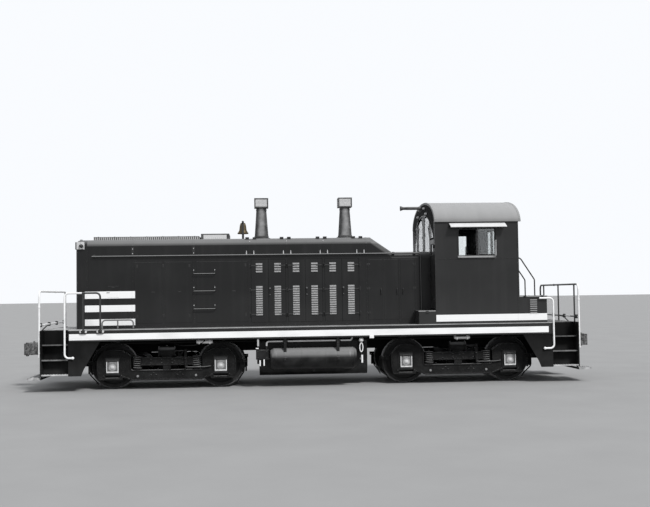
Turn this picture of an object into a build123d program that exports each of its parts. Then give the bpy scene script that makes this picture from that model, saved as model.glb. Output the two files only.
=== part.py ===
from build123d import *
import os

os.makedirs("parts", exist_ok=True)

# Millimetres. X runs from the hood's nose (-) to the cab end (+), Y across the body with the
# near side at -Y, and Z up from the tips of the wheel flanges.

# Sides and ends of the body, as signs.
sides = (-1, 1)

# Wheels and axles.
flange_height = 28
wheel_radius = 508
flange_radius = wheel_radius + flange_height
wheel_width = 140
back_to_back = 1360
flange_width = 33
rim_depth = 75
plate_thickness = 28
hub_radius = 150
hub_width = 175
axle_radius = 95
journal_radius = 70
journal_y = 1004
journal_length = 230
running_fit = 0.1
axle_z = flange_radius

# Trucks.
truck_x = 3353
axle_x = 1219
side_frame_inner = 915
side_frame_outer = 1112
jaw_half = 165
jaw_top = 730
jaw_bottom = 270
frame_top = 892
frame_foot = 225
mid_bar_bottom = 203
mid_bar_top = 435
cover_width = 290
cover_bottom = 383
cover_top = 694
bowl_radius = 220
bowl_depth = 30
truck_bolster_top = 788
seat_gap = 0.3

# Underframe and deck.
half_width = 1524
deck_top = 1378
deck_thickness = 12
deck_under = deck_top - deck_thickness
sill_half_length = 5460
sill_depth = 248
sill_bottom = deck_under - sill_depth
sill_web = 12
sill_flange = 90
sill_flange_thickness = 14
end_plate_x = 6070
end_plate_thickness = 25
end_plate_bottom = 358
centre_sill_half = 170
centre_sill_bottom = 790
bolster_half = 200
bolster_bottom = 960

# Hood.
hood_half = 914
hood_wall = 40
hood_front = -5160
nose_front = -5420
hood_height = 2040
hood_high = deck_top + hood_height
hood_step = 350
hood_low = hood_high - hood_step
slope_start = 1370
slope_end = 1880
roof_corner = 150
nose_corner = 95

# Cab.
cab_front_x = 2775
cab_rear_x = 4730
cab_setback = 24
cab_half = half_width - cab_setback
cab_wall = 50
inner_half = cab_half - cab_wall
wall_height = 2335
eaves_z = deck_top + wall_height
roof_rise = 562
roof_crest = eaves_z + roof_rise
floor_rise = 350
floor_top = deck_top + floor_rise
floor_thickness = 48
window_sill_rise = 1225
window_sill_z = floor_top + window_sill_rise


def block(x0, x1, y0, y1, z0, z1, mode=Mode.ADD):
    """Puts a square block between two corners into the part being built."""
    with Locations(((x0 + x1) / 2, (y0 + y1) / 2, (z0 + z1) / 2)):
        Box(x1 - x0, y1 - y0, z1 - z0, mode=mode)


def both_sides(x0, x1, y0, y1, z0, z1, mode=Mode.ADD):
    """Puts a block and its mirror image across the centre line into the part."""
    for side in sides:
        near, far = sorted((side * y0, side * y1))
        block(x0, x1, near, far, z0, z1, mode)


def all_corners(x0, x1, y0, y1, z0, z1, mode=Mode.ADD):
    """Puts a block at all four corners, mirrored along and across the body."""
    for end in sides:
        low, high = sorted((end * x0, end * x1))
        both_sides(low, high, y0, y1, z0, z1, mode)


def rod(start, finish, radius, mode=Mode.ADD):
    """Puts a straight round bar between two points into the part being built."""
    with BuildSketch(Plane(origin=start, z_dir=Vector(*finish) - Vector(*start))) as end_face:
        Circle(radius)
    extrude(end_face.sketch, amount=(Vector(*finish) - Vector(*start)).length, mode=mode)


def pipe(points, radius, bend):
    """Puts a round pipe with bent corners along a list of points into the part."""
    with BuildLine() as route:
        FilletPolyline(*points, radius=bend)
    with BuildSketch(Plane(origin=route.line @ 0, z_dir=route.line % 0)) as end_face:
        Circle(radius)
    sweep(end_face.sketch, path=route.line)


def side_plane(x, y, z=0):
    """An upright plane along the body, X to the right and Z up, facing the near side."""
    return Plane(origin=(x, y, z), x_dir=(1, 0, 0), z_dir=(0, -1, 0))


def cross_plane(x, y=0, z=0):
    """An upright plane across the body, Y to the right and Z up, facing the cab end."""
    return Plane(origin=(x, y, z), x_dir=(0, 1, 0), z_dir=(1, 0, 0))


def save(built, name):
    """Labels a finished sub-part and writes its file."""
    built.label = name
    export_step(built, f"parts/{name}.step")


def save_on_trucks(built, piece):
    """Writes a piece made at the origin once for each truck, moved to the truck's centre."""
    for name, end in (("front", -1), ("rear", 1)):
        save(Pos(end * truck_x, 0, 0) * built, f"truck_{name}_{piece}")


# Wheelsets: a solid rail axle with two wheels, each turned in one profile.
wheel_inner = back_to_back / 2
wheel_outer = wheel_inner + wheel_width
hub_inner = wheel_inner - 15
hub_outer = hub_inner + hub_width
axle_end = journal_y + journal_length / 2
with BuildPart() as wheelset:
    rod((0, -axle_end, axle_z), (0, axle_end, axle_z), journal_radius)
    rod((0, -hub_outer, axle_z), (0, hub_outer, axle_z), axle_radius)
    with BuildSketch(cross_plane(0, 0, axle_z)):
        with BuildLine():
            Polyline(
                (hub_inner, axle_radius),
                (hub_inner, hub_radius),
                (wheel_outer - 70, hub_radius + 40),
                (wheel_outer - 90, wheel_radius - rim_depth),
                (wheel_inner, wheel_radius - rim_depth),
                (wheel_inner, flange_radius - 8),
                (wheel_inner + 10, flange_radius),
                (wheel_inner + 20, flange_radius),
                (wheel_inner + flange_width, wheel_radius + 2),
                (wheel_outer, wheel_radius - 4),
                (wheel_outer, wheel_radius - rim_depth),
                (wheel_outer - 90 + plate_thickness, wheel_radius - rim_depth),
                (wheel_outer - 70 + plate_thickness, hub_radius + 40),
                (hub_outer, hub_radius),
                (hub_outer, axle_radius),
                close=True,
            )
        make_face()
        mirror(about=Plane.YZ)
    revolve(axis=Axis((0, 0, axle_z), (0, 1, 0)))
wheelset_places = [end * truck_x + side * axle_x for end in sides for side in sides]
for number, x in enumerate(wheelset_places, 1):
    save(Pos(x, 0, 0) * wheelset.part, f"wheelset_{number}")

# Trucks: cast side frames that swoop from arches over the boxes down to a low middle bar.
leg_inner = axle_x - 414
leg_outer = axle_x + 350
transom_x = 300
transom_half = 50
hanger_reach = axle_x + 610
hanger_z = 560
rim_width = 26
rim_height = 14
# Half outline of a side frame: X from the truck's centre, Z, corner radius.
frame_outline = (
    (0, mid_bar_bottom, 0),
    (leg_inner - 20, mid_bar_bottom, 200),
    (axle_x - jaw_half - 60, frame_foot + 60, 20),
    (axle_x - jaw_half - 60, frame_foot, 12),
    (leg_outer - 40, frame_foot, 12),
    (leg_outer, mid_bar_top, 100),
    (leg_outer, jaw_top - 60, 150),
    (leg_outer - 160, frame_top, 150),
    (axle_x - 190, frame_top, 200),
    (leg_inner, frame_top - 130, 110),
    (leg_inner, mid_bar_top, 45),
    (0, mid_bar_top, 0),
)
frame_points = [(x, z) for x, z, _ in frame_outline]
frame_radii = [radius for _, _, radius in frame_outline]
with BuildSketch(Plane.XY) as frame_face:
    with BuildLine():
        FilletPolyline(*frame_points, radius=frame_radii, close=True)
    make_face()
    mirror(about=Plane.YZ)
    with Locations((axle_x, (jaw_top + jaw_bottom) / 2), (-axle_x, (jaw_top + jaw_bottom) / 2)):
        Rectangle(2 * jaw_half, jaw_top - jaw_bottom, mode=Mode.SUBTRACT)
with BuildPart() as truck_frame:
    with BuildSketch(side_plane(0, -side_frame_inner)):
        add(frame_face.sketch)
    extrude(amount=side_frame_outer - side_frame_inner)
    with BuildSketch(side_plane(0, rim_height - side_frame_outer)):
        add(frame_face.sketch)
        offset(amount=-rim_width, mode=Mode.REPLACE)
    extrude(amount=rim_height, mode=Mode.SUBTRACT)
    mirror(about=Plane.XZ)
    for across in sides:
        x = across * transom_x
        block(x - transom_half, x + transom_half, -side_frame_inner, side_frame_inner,
              mid_bar_bottom, mid_bar_top - 60)
        low, high = sorted((across * (leg_outer - 40), across * hanger_reach))
        both_sides(low, high, side_frame_inner, side_frame_inner + 45, hanger_z, hanger_z + 80)
save_on_trucks(truck_frame.part, "frame")

# Truck bolsters: a cross beam with the centre bowl, upper side beams and their spring ends.
upper_beam_bottom = 537
upper_beam_top = 713
upper_beam_half = 757
spring_radius = 88
post_half = 85
bolster_width = 420
with BuildPart() as truck_bolster:
    block(-bolster_width / 2, bolster_width / 2, -side_frame_inner,
          side_frame_inner, mid_bar_top, truck_bolster_top - bowl_depth)
    with BuildSketch(Plane.XY.offset(truck_bolster_top - bowl_depth)):
        Circle(bowl_radius + seat_gap + 35)
        Circle(bowl_radius + seat_gap, mode=Mode.SUBTRACT)
    extrude(amount=bowl_depth)
    both_sides(-upper_beam_half, upper_beam_half, side_frame_inner,
               side_frame_outer - 20, upper_beam_bottom, upper_beam_top)
    both_sides(-post_half, post_half, side_frame_inner, side_frame_outer - 20,
               mid_bar_top, upper_beam_bottom)
    for across in sides:
        x = across * (upper_beam_half - spring_radius)
        for side in sides:
            y = side * (side_frame_outer - spring_radius)
            rod((x, y, mid_bar_top), (x, y, upper_beam_top + 20), spring_radius)
save_on_trucks(truck_bolster.part, "bolster")

# Journal boxes: a body that fills the jaw, and a narrower cover in front of it.
box_inner = 880
cover_y = side_frame_outer + 8
with BuildPart() as journal_boxes:
    for across in sides:
        x = across * axle_x
        both_sides(x - jaw_half, x + jaw_half, box_inner, side_frame_outer - 40, jaw_bottom + 60, jaw_top)
        both_sides(x - cover_width / 2, x + cover_width / 2, side_frame_outer - 40,
                   cover_y, cover_bottom, cover_top)
        rod((x, -axle_end - 10, axle_z), (x, axle_end + 10, axle_z),
            journal_radius + running_fit, mode=Mode.SUBTRACT)
save_on_trucks(journal_boxes.part, "boxes")

# Traction motors, hung on the axles by their suspension bearings.
motor_x = 700
motor_z = 500
motor_radius = 265
motor_half = 420
bearing_radius = 150
with BuildPart() as motors:
    for across in sides:
        with BuildSketch(side_plane(0, motor_half)):
            with Locations((across * motor_x, motor_z)):
                Circle(motor_radius)
            with Locations((across * axle_x, axle_z)):
                Circle(bearing_radius)
            make_hull()
            with Locations((across * axle_x, axle_z)):
                Circle(axle_radius + running_fit, mode=Mode.SUBTRACT)
        extrude(amount=2 * motor_half)
        x = across * transom_x
        low, high = sorted((x + across * transom_half, across * motor_x))
        block(low, high, -80, 80, mid_bar_bottom + 30, mid_bar_top - 90)
save_on_trucks(motors.part, "motors")

# Brakes: a shoe on both sides of each wheel, with its head, hanger and cross beam.
shoe_gap = 6
shoe_face = wheel_radius + shoe_gap
shoe_thickness = 45
shoe_width = 86
shoe_y = wheel_inner + flange_width + 5 + shoe_width / 2
shoe_angle = 30
shoe_drop = 8
brake_head_depth = 40
brake_head_half = 30
cylinder_radius = 105
cylinder_half_length = 190
push_rod_end = cylinder_half_length + 230
cylinder_y = 1010
cylinder_z = 845
with BuildPart() as brakes:
    for across in sides:
        x = across * axle_x
        for face in sides:
            middle_angle = -shoe_drop if face > 0 else 180 + shoe_drop
            start_angle = middle_angle - shoe_angle / 2
            with BuildSketch(side_plane(x, shoe_y + shoe_width / 2, axle_z)):
                with BuildLine():
                    inner = CenterArc((0, 0), shoe_face, start_angle, shoe_angle)
                    outer = CenterArc((0, 0), shoe_face + shoe_thickness, start_angle, shoe_angle)
                    Line(inner @ 0, outer @ 0)
                    Line(inner @ 1, outer @ 1)
                make_face()
            extrude(amount=shoe_width)
            back = x + face * (shoe_face + shoe_thickness - 6)
            low, high = sorted((back, back + face * brake_head_depth))
            block(low, high, shoe_y - brake_head_half, shoe_y + brake_head_half, axle_z - 190, axle_z + 60)
            lug_z = hanger_z if face == across else mid_bar_bottom + 160
            block(low, high, shoe_y, side_frame_inner, lug_z, lug_z + 36)
    rod((-cylinder_half_length, cylinder_y, cylinder_z), (cylinder_half_length, cylinder_y, cylinder_z),
        cylinder_radius)
    for x in (-cylinder_half_length, cylinder_half_length - 30):
        rod((x, cylinder_y, cylinder_z), (x + 30, cylinder_y, cylinder_z), cylinder_radius + 22)
    rod((cylinder_half_length, cylinder_y, cylinder_z), (push_rod_end, cylinder_y, cylinder_z), 22)
    block(-120, 120, cylinder_y - 60, cylinder_y + 60, upper_beam_top, cylinder_z)
    mirror(about=Plane.XZ)
save_on_trucks(brakes.part, "brakes")

# Centre sill: the backbone, with a pocket at each end in which the coupler's shank swings.
coupler_z = 904
coupler_face = 6769
coupler_pin_x = 5900
shank_half = 65
pocket_start = 5780
pocket_half = 150
pocket_rise = 80
pin_radius = 45
centre_sill_end = end_plate_x
with BuildPart() as centre_sill:
    block(-centre_sill_end, centre_sill_end, -centre_sill_half, centre_sill_half,
          centre_sill_bottom, deck_under)
    for end in sides:
        low, high = sorted((end * pocket_start, end * (centre_sill_end + 1)))
        block(low, high, -pocket_half, pocket_half, coupler_z - pocket_rise, coupler_z + pocket_rise,
              mode=Mode.SUBTRACT)
        x = end * coupler_pin_x
        rod((x, 0, coupler_z - pocket_rise), (x, 0, coupler_z + pocket_rise), pin_radius)
        with BuildSketch(Plane.XY.offset(truck_bolster_top - bowl_depth + seat_gap)):
            with Locations((end * truck_x, 0)):
                Circle(bowl_radius)
        extrude(amount=centre_sill_bottom - truck_bolster_top + bowl_depth - seat_gap)
save(centre_sill.part, "centre_sill")

# Body bolsters over the trucks, tapered up to the sills, with side bearings and jacking pads.
pad_y = half_width - 144
pad_half = 110
pad_depth = 30
bearing_y = 640
bearing_half = 60
knee_y = bearing_y + bearing_half
bolster_tip = half_width - sill_web - 2
with BuildPart() as body_bolsters:
    for end in sides:
        x = end * truck_x
        with BuildSketch(cross_plane(x - bolster_half)):
            with BuildLine():
                Polyline(
                    (centre_sill_half, deck_under),
                    (centre_sill_half, bolster_bottom),
                    (knee_y, bolster_bottom),
                    (pad_y - pad_half, sill_bottom),
                    (bolster_tip, sill_bottom),
                    (bolster_tip, deck_under),
                    close=True,
                )
            make_face()
            mirror(about=Plane.YZ)
        extrude(amount=2 * bolster_half)
        both_sides(x - 90, x + 90, bearing_y - bearing_half, knee_y, truck_bolster_top + 3, bolster_bottom)
        both_sides(x - pad_half, x + pad_half, pad_y - pad_half, pad_y + pad_half,
                   sill_bottom - pad_depth, sill_bottom)
save(body_bolsters.part, "body_bolsters")

# Side sills: deep channels along both edges of the deck.
with BuildPart() as side_sills:
    both_sides(-sill_half_length, sill_half_length, half_width - sill_web, half_width,
               sill_bottom, deck_under)
    for z in (sill_bottom, deck_under - sill_flange_thickness):
        for low, high in (
            (-sill_half_length, -truck_x - bolster_half),
            (-truck_x + bolster_half, truck_x - bolster_half),
            (truck_x + bolster_half, sill_half_length),
        ):
            both_sides(low, high, half_width - sill_flange, half_width - sill_web,
                       z, z + sill_flange_thickness)
save(side_sills.part, "side_sills")

# Deck plate with a notch over each flight of corner steps.
well_start = 5480
well_depth = 380
with BuildPart() as deck:
    block(-end_plate_x, end_plate_x, -half_width, half_width, deck_under, deck_top)
    all_corners(well_start, end_plate_x, half_width - well_depth, half_width, deck_under, deck_top,
                mode=Mode.SUBTRACT)
save(deck.part, "deck")

# End plates, open below for the couplers, with footboard planks hung on flat straps.
coupler_opening_half = 190
coupler_opening_top = 1094
plank_start = end_plate_x + end_plate_thickness
plank_reach = 290
plank_top = 330
plank_thickness = 48
plank_inner = 330
plank_outer = half_width - 60
strap_places = (plank_inner + 100, plank_outer - 170)
with BuildPart() as end_plates:
    for end in sides:
        low, high = sorted((end * end_plate_x, end * plank_start))
        block(low, high, -half_width, half_width, end_plate_bottom, deck_top)
        block(low, high, -coupler_opening_half, coupler_opening_half, end_plate_bottom, coupler_opening_top,
              mode=Mode.SUBTRACT)
    all_corners(plank_start, plank_start + plank_reach, plank_inner, plank_outer,
                plank_top - plank_thickness, plank_top)
    for y in strap_places:
        all_corners(plank_start, plank_start + 12, y, y + 70, plank_top, end_plate_bottom + 160)
save(end_plates.part, "end_plates")

# Corner steps: three treads set back one behind another, risers, a side stringer and a skirt.
tread_rise = (403, 728, 1063)
tread_depth = 260
tread_setback = 60
tread_thickness = 26
riser_thickness = 8
skirt_thickness = 10
skirt_foot = 358
skirt_y = half_width - sill_web - skirt_thickness
skirt_start = 4783
skirt_knee = (5140, 508)
skirt_toe = 5200
stringer_x = well_start - 10
with BuildPart() as corner_steps:
    for number, rise in enumerate(tread_rise):
        outer = half_width - number * tread_setback
        back = outer - tread_depth
        above = tread_rise[number + 1] - tread_thickness if number < 2 else deck_under
        all_corners(well_start, end_plate_x, back, outer, rise - tread_thickness, rise)
        all_corners(well_start, end_plate_x, back, back + riser_thickness, rise, above)
    all_corners(stringer_x, well_start, half_width - well_depth - 20, half_width - sill_web,
                skirt_foot, deck_under)
    for end in sides:
        for side in sides:
            y_start = max(side * skirt_y, side * (skirt_y + skirt_thickness))
            with BuildSketch(side_plane(0, y_start)):
                with BuildLine():
                    Polyline(
                        (end * skirt_start, sill_bottom),
                        (end * skirt_knee[0], skirt_knee[1]),
                        (end * skirt_toe, skirt_foot),
                        (end * stringer_x, skirt_foot),
                        (end * stringer_x, sill_bottom),
                        close=True,
                    )
                make_face()
            extrude(amount=skirt_thickness)
save(corner_steps.part, "corner_steps")

# Couplers: a shank with a pin hole, a head with its guard arm, and the curled knuckle.
head_half = 135
eye_radius = 95
shank_end = coupler_face - 289
# Outline of the head from above: X behind the coupler's face, Y, corner radius.
head_outline = (
    (339, -80, 20), (249, -150, 40), (79, -175, 30), (0, -160, 12), (0, -120, 12), (20, -95, 8),
    (129, -70, 25), (149, 40, 20), (79, 60, 12), (69, 20, 5), (30, 0, 12), (0, 40, 15), (0, 100, 15),
    (20, 140, 20), (209, 160, 40), (339, 80, 20),
)
with BuildPart() as coupler:
    with BuildSketch(Plane.XY.offset(coupler_z - shank_half)):
        with Locations((coupler_pin_x, 0)):
            Circle(eye_radius)
        with Locations(((coupler_pin_x + shank_end) / 2, 0)):
            Rectangle(shank_end - coupler_pin_x, 2 * shank_half)
        with Locations((coupler_pin_x, 0)):
            Circle(pin_radius + running_fit, mode=Mode.SUBTRACT)
    extrude(amount=2 * shank_half)
    with BuildSketch(Plane.XY.offset(coupler_z - head_half)):
        with BuildLine():
            FilletPolyline(*[(coupler_face - back, y) for back, y, _ in head_outline],
                           radius=[radius for _, _, radius in head_outline], close=True)
        make_face()
    extrude(amount=2 * head_half)
save(coupler.part, "coupler_rear")
save(Rot(0, 0, 180) * coupler.part, "coupler_front")

# Fuel tank hung around the centre sill, with a filler and a sight gauge on both sides.
reservoir_radius = 248
reservoir_y = half_width - 262
tank_half_length = 1250
tank_clearance = 84
tank_half_width = reservoir_y - reservoir_radius - tank_clearance
tank_bottom = 240
tank_top = 1090
tank_chamfer = 170
filler_x = 1180
filler_z = 970
filler_reach = 70
filler_radius = 45
gauge_x = 1060
gauge_reach = 40
gauge_heights = (770, 1000)
gauge_overrun = 25
with BuildPart() as fuel_tank:
    with BuildSketch(cross_plane(-tank_half_length)):
        with BuildLine():
            FilletPolyline(
                (-tank_half_width, tank_top), (-tank_half_width, tank_bottom), (tank_half_width, tank_bottom),
                (tank_half_width, tank_top), radius=(0, tank_chamfer, tank_chamfer, 0), close=True,
            )
        make_face()
        with Locations((0, centre_sill_bottom)):
            Rectangle(2 * centre_sill_half, deck_under, align=(Align.CENTER, Align.MIN), mode=Mode.SUBTRACT)
    extrude(amount=2 * tank_half_length)
    filler_y = tank_half_width + filler_reach
    gauge_y = tank_half_width + gauge_reach
    for side in sides:
        face_y = side * (tank_half_width - 10)
        rod((filler_x, face_y, filler_z), (filler_x, side * filler_y, filler_z), filler_radius)
        for z in gauge_heights:
            rod((gauge_x, face_y, z), (gauge_x, side * gauge_y, z), 12)
        rod((gauge_x, side * gauge_y, gauge_heights[0] - gauge_overrun),
            (gauge_x, side * gauge_y, gauge_heights[1] + gauge_overrun), 16)
save(fuel_tank.part, "fuel_tank")

# Air system: a main reservoir on each side with its straps, a drain valve and the air pipe.
reservoir_z = 643
reservoir_low_x = -1000
reservoir_high_x = 950
reservoir_dish = 70
strap_half = 30
strap_centres = (-670, 530)
hanger_offset = 180
hanger_thickness = 20
air_pipe_y = half_width - 84
air_pipe_z = 1050
air_pipe_low_x = reservoir_low_x - 90
air_pipe_high_x = reservoir_high_x - 100
valve_low_x = reservoir_low_x - 330
valve_high_x = reservoir_low_x - 50
valve_bottom = 650
valve_top = 860
with BuildPart() as air_system:
    y = reservoir_y
    body_low = reservoir_low_x + reservoir_dish
    body_high = reservoir_high_x - reservoir_dish
    rod((body_low, y, reservoir_z), (body_high, y, reservoir_z), reservoir_radius)
    for inner, outer in ((body_low, reservoir_low_x), (body_high, reservoir_high_x)):
        with BuildSketch(Plane(origin=(inner, y, reservoir_z), z_dir=(outer - inner, 0, 0))):
            Circle(reservoir_radius)
        extrude(amount=reservoir_dish, taper=35)
    for x in strap_centres:
        with BuildSketch(cross_plane(x - strap_half)):
            with Locations((y, reservoir_z)):
                Circle(reservoir_radius + 8)
                Circle(reservoir_radius - 5, mode=Mode.SUBTRACT)
        extrude(amount=2 * strap_half)
        block(x - strap_half, x + strap_half, y + hanger_offset, y + hanger_offset + hanger_thickness,
              reservoir_z + 160, sill_bottom)
    pipe([(air_pipe_low_x, air_pipe_y, valve_top - 10), (air_pipe_low_x, air_pipe_y, air_pipe_z),
          (air_pipe_high_x, air_pipe_y, air_pipe_z), (air_pipe_high_x, air_pipe_y, sill_bottom)], 20, 60)
    block(valve_low_x, valve_high_x, air_pipe_y - 110, air_pipe_y + 60, valve_bottom, valve_top)
    block(valve_low_x + 30, valve_low_x + 70, air_pipe_y - 110, air_pipe_y + 60, valve_top, sill_bottom)
    drain_x = valve_low_x + 80
    rod((drain_x, air_pipe_y, valve_bottom + 10), (drain_x, air_pipe_y, valve_bottom - 100), 55)
    mirror(about=Plane.XZ)
save(air_system.part, "air_system")

# Hood sides: thick walls with an opening for each double door, and the lugs of their hinges.
side_top = hood_high - roof_corner
side_top_low = hood_low - roof_corner
door_pitch = 855
door_edges = [-1450 + number * door_pitch for number in range(4)]
post_half_width = 25
door_bottom = deck_top + 90
door_top = hood_low - 138
leaf_clearance = 5
leaf_gap = 6
leaf_thickness = 30
hinge_out = 18
hinge_back = 7
hinge_heights = (door_bottom + 180, door_top - 152)
hinge_radius = 12
hinge_pin = 6
hinge_barrel = 60
lug_thickness = 8
lug_play = 1
hinge_inset = post_half_width - hinge_back
leaf_hinges = []
for left, right in zip(door_edges, door_edges[1:]):
    leaf_hinges += [(left + hinge_inset, 1), (right - hinge_inset, -1)]
with BuildPart() as hood_side:
    with BuildSketch(side_plane(0, -hood_half + hood_wall)):
        with BuildLine():
            Polyline(
                (hood_front, deck_top), (cab_front_x, deck_top), (cab_front_x, side_top_low),
                (slope_end, side_top_low), (slope_start, side_top), (hood_front, side_top), close=True,
            )
        make_face()
        for left in door_edges[:-1]:
            with Locations((left + door_pitch / 2, (door_bottom + door_top) / 2)):
                Rectangle(door_pitch - 2 * post_half_width, door_top - door_bottom, mode=Mode.SUBTRACT)
    extrude(amount=hood_wall)
    for height in hinge_heights:
        lug_low = height - hinge_barrel / 2 - lug_play - lug_thickness
        lug_high = height + hinge_barrel / 2 + lug_play
        for low in (lug_low, lug_high):
            with BuildSketch(Plane.XY.offset(low)):
                for hinge_x, turn in leaf_hinges:
                    with Locations((hinge_x, -hood_half - hinge_out)):
                        Circle(hinge_radius)
                    with Locations((hinge_x - turn * hinge_radius / 2, -hood_half - hinge_out / 2)):
                        Rectangle(hinge_radius, hinge_out)
            extrude(amount=lug_thickness)
        with BuildSketch(Plane.XY.offset(lug_low)):
            with Locations([(hinge_x, -hood_half - hinge_out) for hinge_x, _ in leaf_hinges]):
                Circle(hinge_pin)
        extrude(amount=lug_high - lug_low)
with BuildPart() as hood_sides:
    add(hood_side.part)
    mirror(about=Plane.XZ)
save(hood_sides.part, "hood_sides")

# Hood door leaves: each with hinge barrels and a column of louvres, and a latch on one of a pair.
# Louvre groups: the top slat's depth under the door's top, number of slats, pitch.
louvre_groups = ((92, 4, 58), (622, 13, 53))
louvre_half_width = 75
louvre_reach = 20
louvre_height = 40
louvre_sheet = 8
latch_z = door_bottom + 760
latch_length = 140
latch_reach = 28
latch_half = 8
latch_bar = 10
strap_length = 110
strap_thickness = 6
leaf_start = hinge_back + leaf_clearance
leaf_end = door_pitch / 2 - hinge_inset - leaf_gap / 2
leaves = {}
for turn in (1, -1):
    with BuildPart() as leaf:
        low, high = sorted((turn * leaf_start, turn * leaf_end))
        block(low, high, -hood_half, -hood_half + leaf_thickness,
              door_bottom + leaf_clearance, door_top - leaf_clearance)
        louvre_x = turn * (door_pitch / 4 - hinge_inset)
        with BuildSketch(cross_plane(louvre_x - louvre_half_width)):
            for depth, count, pitch in louvre_groups:
                for step in range(count):
                    z = door_top - depth - step * pitch
                    with BuildLine():
                        Polyline(
                            (-hood_half, z),
                            (-hood_half - louvre_reach, z - louvre_height),
                            (-hood_half - louvre_reach + louvre_sheet / 2, z - louvre_height),
                            (-hood_half, z - louvre_sheet),
                            close=True,
                        )
                    make_face()
        extrude(amount=2 * louvre_half_width)
        for height in hinge_heights:
            with BuildSketch(Plane.XY.offset(height - hinge_barrel / 2)):
                with Locations((0, -hood_half - hinge_out)):
                    Circle(hinge_radius)
                with Locations((turn * hinge_radius / 2, -hood_half - hinge_out / 2)):
                    Rectangle(hinge_radius, hinge_out)
                with Locations((turn * strap_length / 2, -hood_half - strap_thickness / 2)):
                    Rectangle(strap_length, strap_thickness)
                with Locations((0, -hood_half - hinge_out)):
                    Circle(hinge_pin + running_fit, mode=Mode.SUBTRACT)
            extrude(amount=hinge_barrel)
        if turn < 0:
            latch_x = turn * (leaf_end - 30)
            latch_y = -hood_half - latch_reach
            block(latch_x - latch_half, latch_x + latch_half, latch_y, latch_y + latch_bar,
                  latch_z - latch_length, latch_z)
            block(latch_x - latch_half, latch_x + latch_half, latch_y, -hood_half,
                  latch_z - 2 * latch_bar, latch_z)
    leaves[turn] = leaf.part
for number, (hinge_x, turn) in enumerate(leaf_hinges, 1):
    near_leaf = Pos(hinge_x, 0, 0) * leaves[turn]
    save(near_leaf, f"hood_door_near_{number}")
    save(mirror(near_leaf, about=Plane.XZ, mode=Mode.PRIVATE), f"hood_door_far_{number}")

# Hood roof: one sheet with rounded shoulders that steps down in front of the cab.
roof_line = ((hood_front, hood_high), (slope_start, hood_high), (slope_end, hood_low), (cab_front_x, hood_low))
with BuildPart() as hood_roof:
    for x, top in roof_line:
        with BuildSketch(cross_plane(x)):
            with BuildLine():
                for radius, half, high in ((roof_corner, hood_half, top),
                                           (roof_corner - hood_wall, hood_half - hood_wall, top - hood_wall)):
                    flat = half - radius
                    CenterArc((flat, high - radius), radius, 0, 90)
                    Line((flat, high), (-flat, high))
                    CenterArc((-flat, high - radius), radius, 90, 90)
                for side in sides:
                    foot = top - roof_corner
                    Line((side * hood_half, foot), (side * (hood_half - hood_wall), foot))
            make_face()
    loft(ruled=True)
save(hood_roof.part, "hood_roof")

# Headlights and number boxes: made before the nose, which is cut to fit around them.
headlight_z = hood_high - 153
headlight_radius = 125
headlight_reach = 110
headlight_rim = 20
headlight_recess = 30
number_box = 170
number_box_x = nose_front + 95
number_box_y = hood_half - 99
number_box_z = hood_high - 130
rear_headlight_z = eaves_z + 117
with BuildPart() as lamps:
    for face_x, out, z in ((nose_front, -1, headlight_z), (cab_rear_x, 1, rear_headlight_z)):
        with BuildSketch(Plane(origin=(face_x, 0, z), z_dir=(out, 0, 0))):
            Circle(headlight_radius)
        extrude(amount=headlight_reach)
        lens_x = face_x + out * (headlight_reach - headlight_recess)
        with BuildSketch(Plane(origin=(lens_x, 0, z), z_dir=(out, 0, 0))):
            Circle(headlight_radius - headlight_rim)
        extrude(amount=headlight_recess, mode=Mode.SUBTRACT)
    for side in sides:
        with Locations(Location((number_box_x, side * number_box_y, number_box_z), (0, 0, -side * 45))):
            Box(number_box, number_box, number_box)
save(lamps.part, "lamps")

# Nose: a shell with rounded corners and top edge, open in front for the radiator shutters.
shutter_half = hood_half - 354
shutter_bottom = deck_top + 322
shutter_top = hood_high - 338
with BuildPart() as hood_nose:
    for inset in (0, hood_wall):
        with BuildSketch(cross_plane(nose_front + inset)):
            with BuildLine():
                half = hood_half - inset
                top = hood_high - inset
                radius = roof_corner - inset
                Polyline((half, top - radius), (half, deck_top), (-half, deck_top), (-half, top - radius))
                CenterArc((half - radius, top - radius), radius, 0, 90)
                Line((half - radius, top), (radius - half, top))
                CenterArc((radius - half, top - radius), radius, 90, 90)
            make_face()
        extrude(amount=hood_front - nose_front - inset, mode=Mode.ADD if inset == 0 else Mode.SUBTRACT)
        if inset == 0:
            corners = hood_nose.edges().filter_by(Axis.Z).group_by(Axis.X)[0]
            fillet(corners, radius=nose_corner)
    block(nose_front, nose_front + hood_wall, -shutter_half, shutter_half, shutter_bottom, shutter_top,
          mode=Mode.SUBTRACT)
    add(lamps.part, mode=Mode.SUBTRACT)
save(hood_nose.part, "hood_nose")

# Radiator shutters: slanted blades between two posts, in the nose's opening.
blade_count = 16
blade_thickness = 8
blade_front = 6
blade_back = 36
blade_rise = 0.8
post_width = 30
with BuildPart() as nose_shutters:
    both_sides(nose_front + blade_front - 2, nose_front + hood_wall, shutter_half - post_width, shutter_half,
               shutter_bottom, shutter_top)
    pitch = (shutter_top - shutter_bottom) / blade_count
    with BuildSketch(side_plane(nose_front, shutter_half - post_width)):
        for number in range(blade_count):
            z = shutter_bottom + pitch * number
            raised = z + pitch * blade_rise
            with BuildLine():
                Polyline((blade_front, z), (blade_back, raised), (blade_back, raised + blade_thickness),
                         (blade_front, z + blade_thickness), close=True)
            make_face()
    extrude(amount=2 * (shutter_half - post_width))
save(nose_shutters.part, "nose_shutters")

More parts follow.
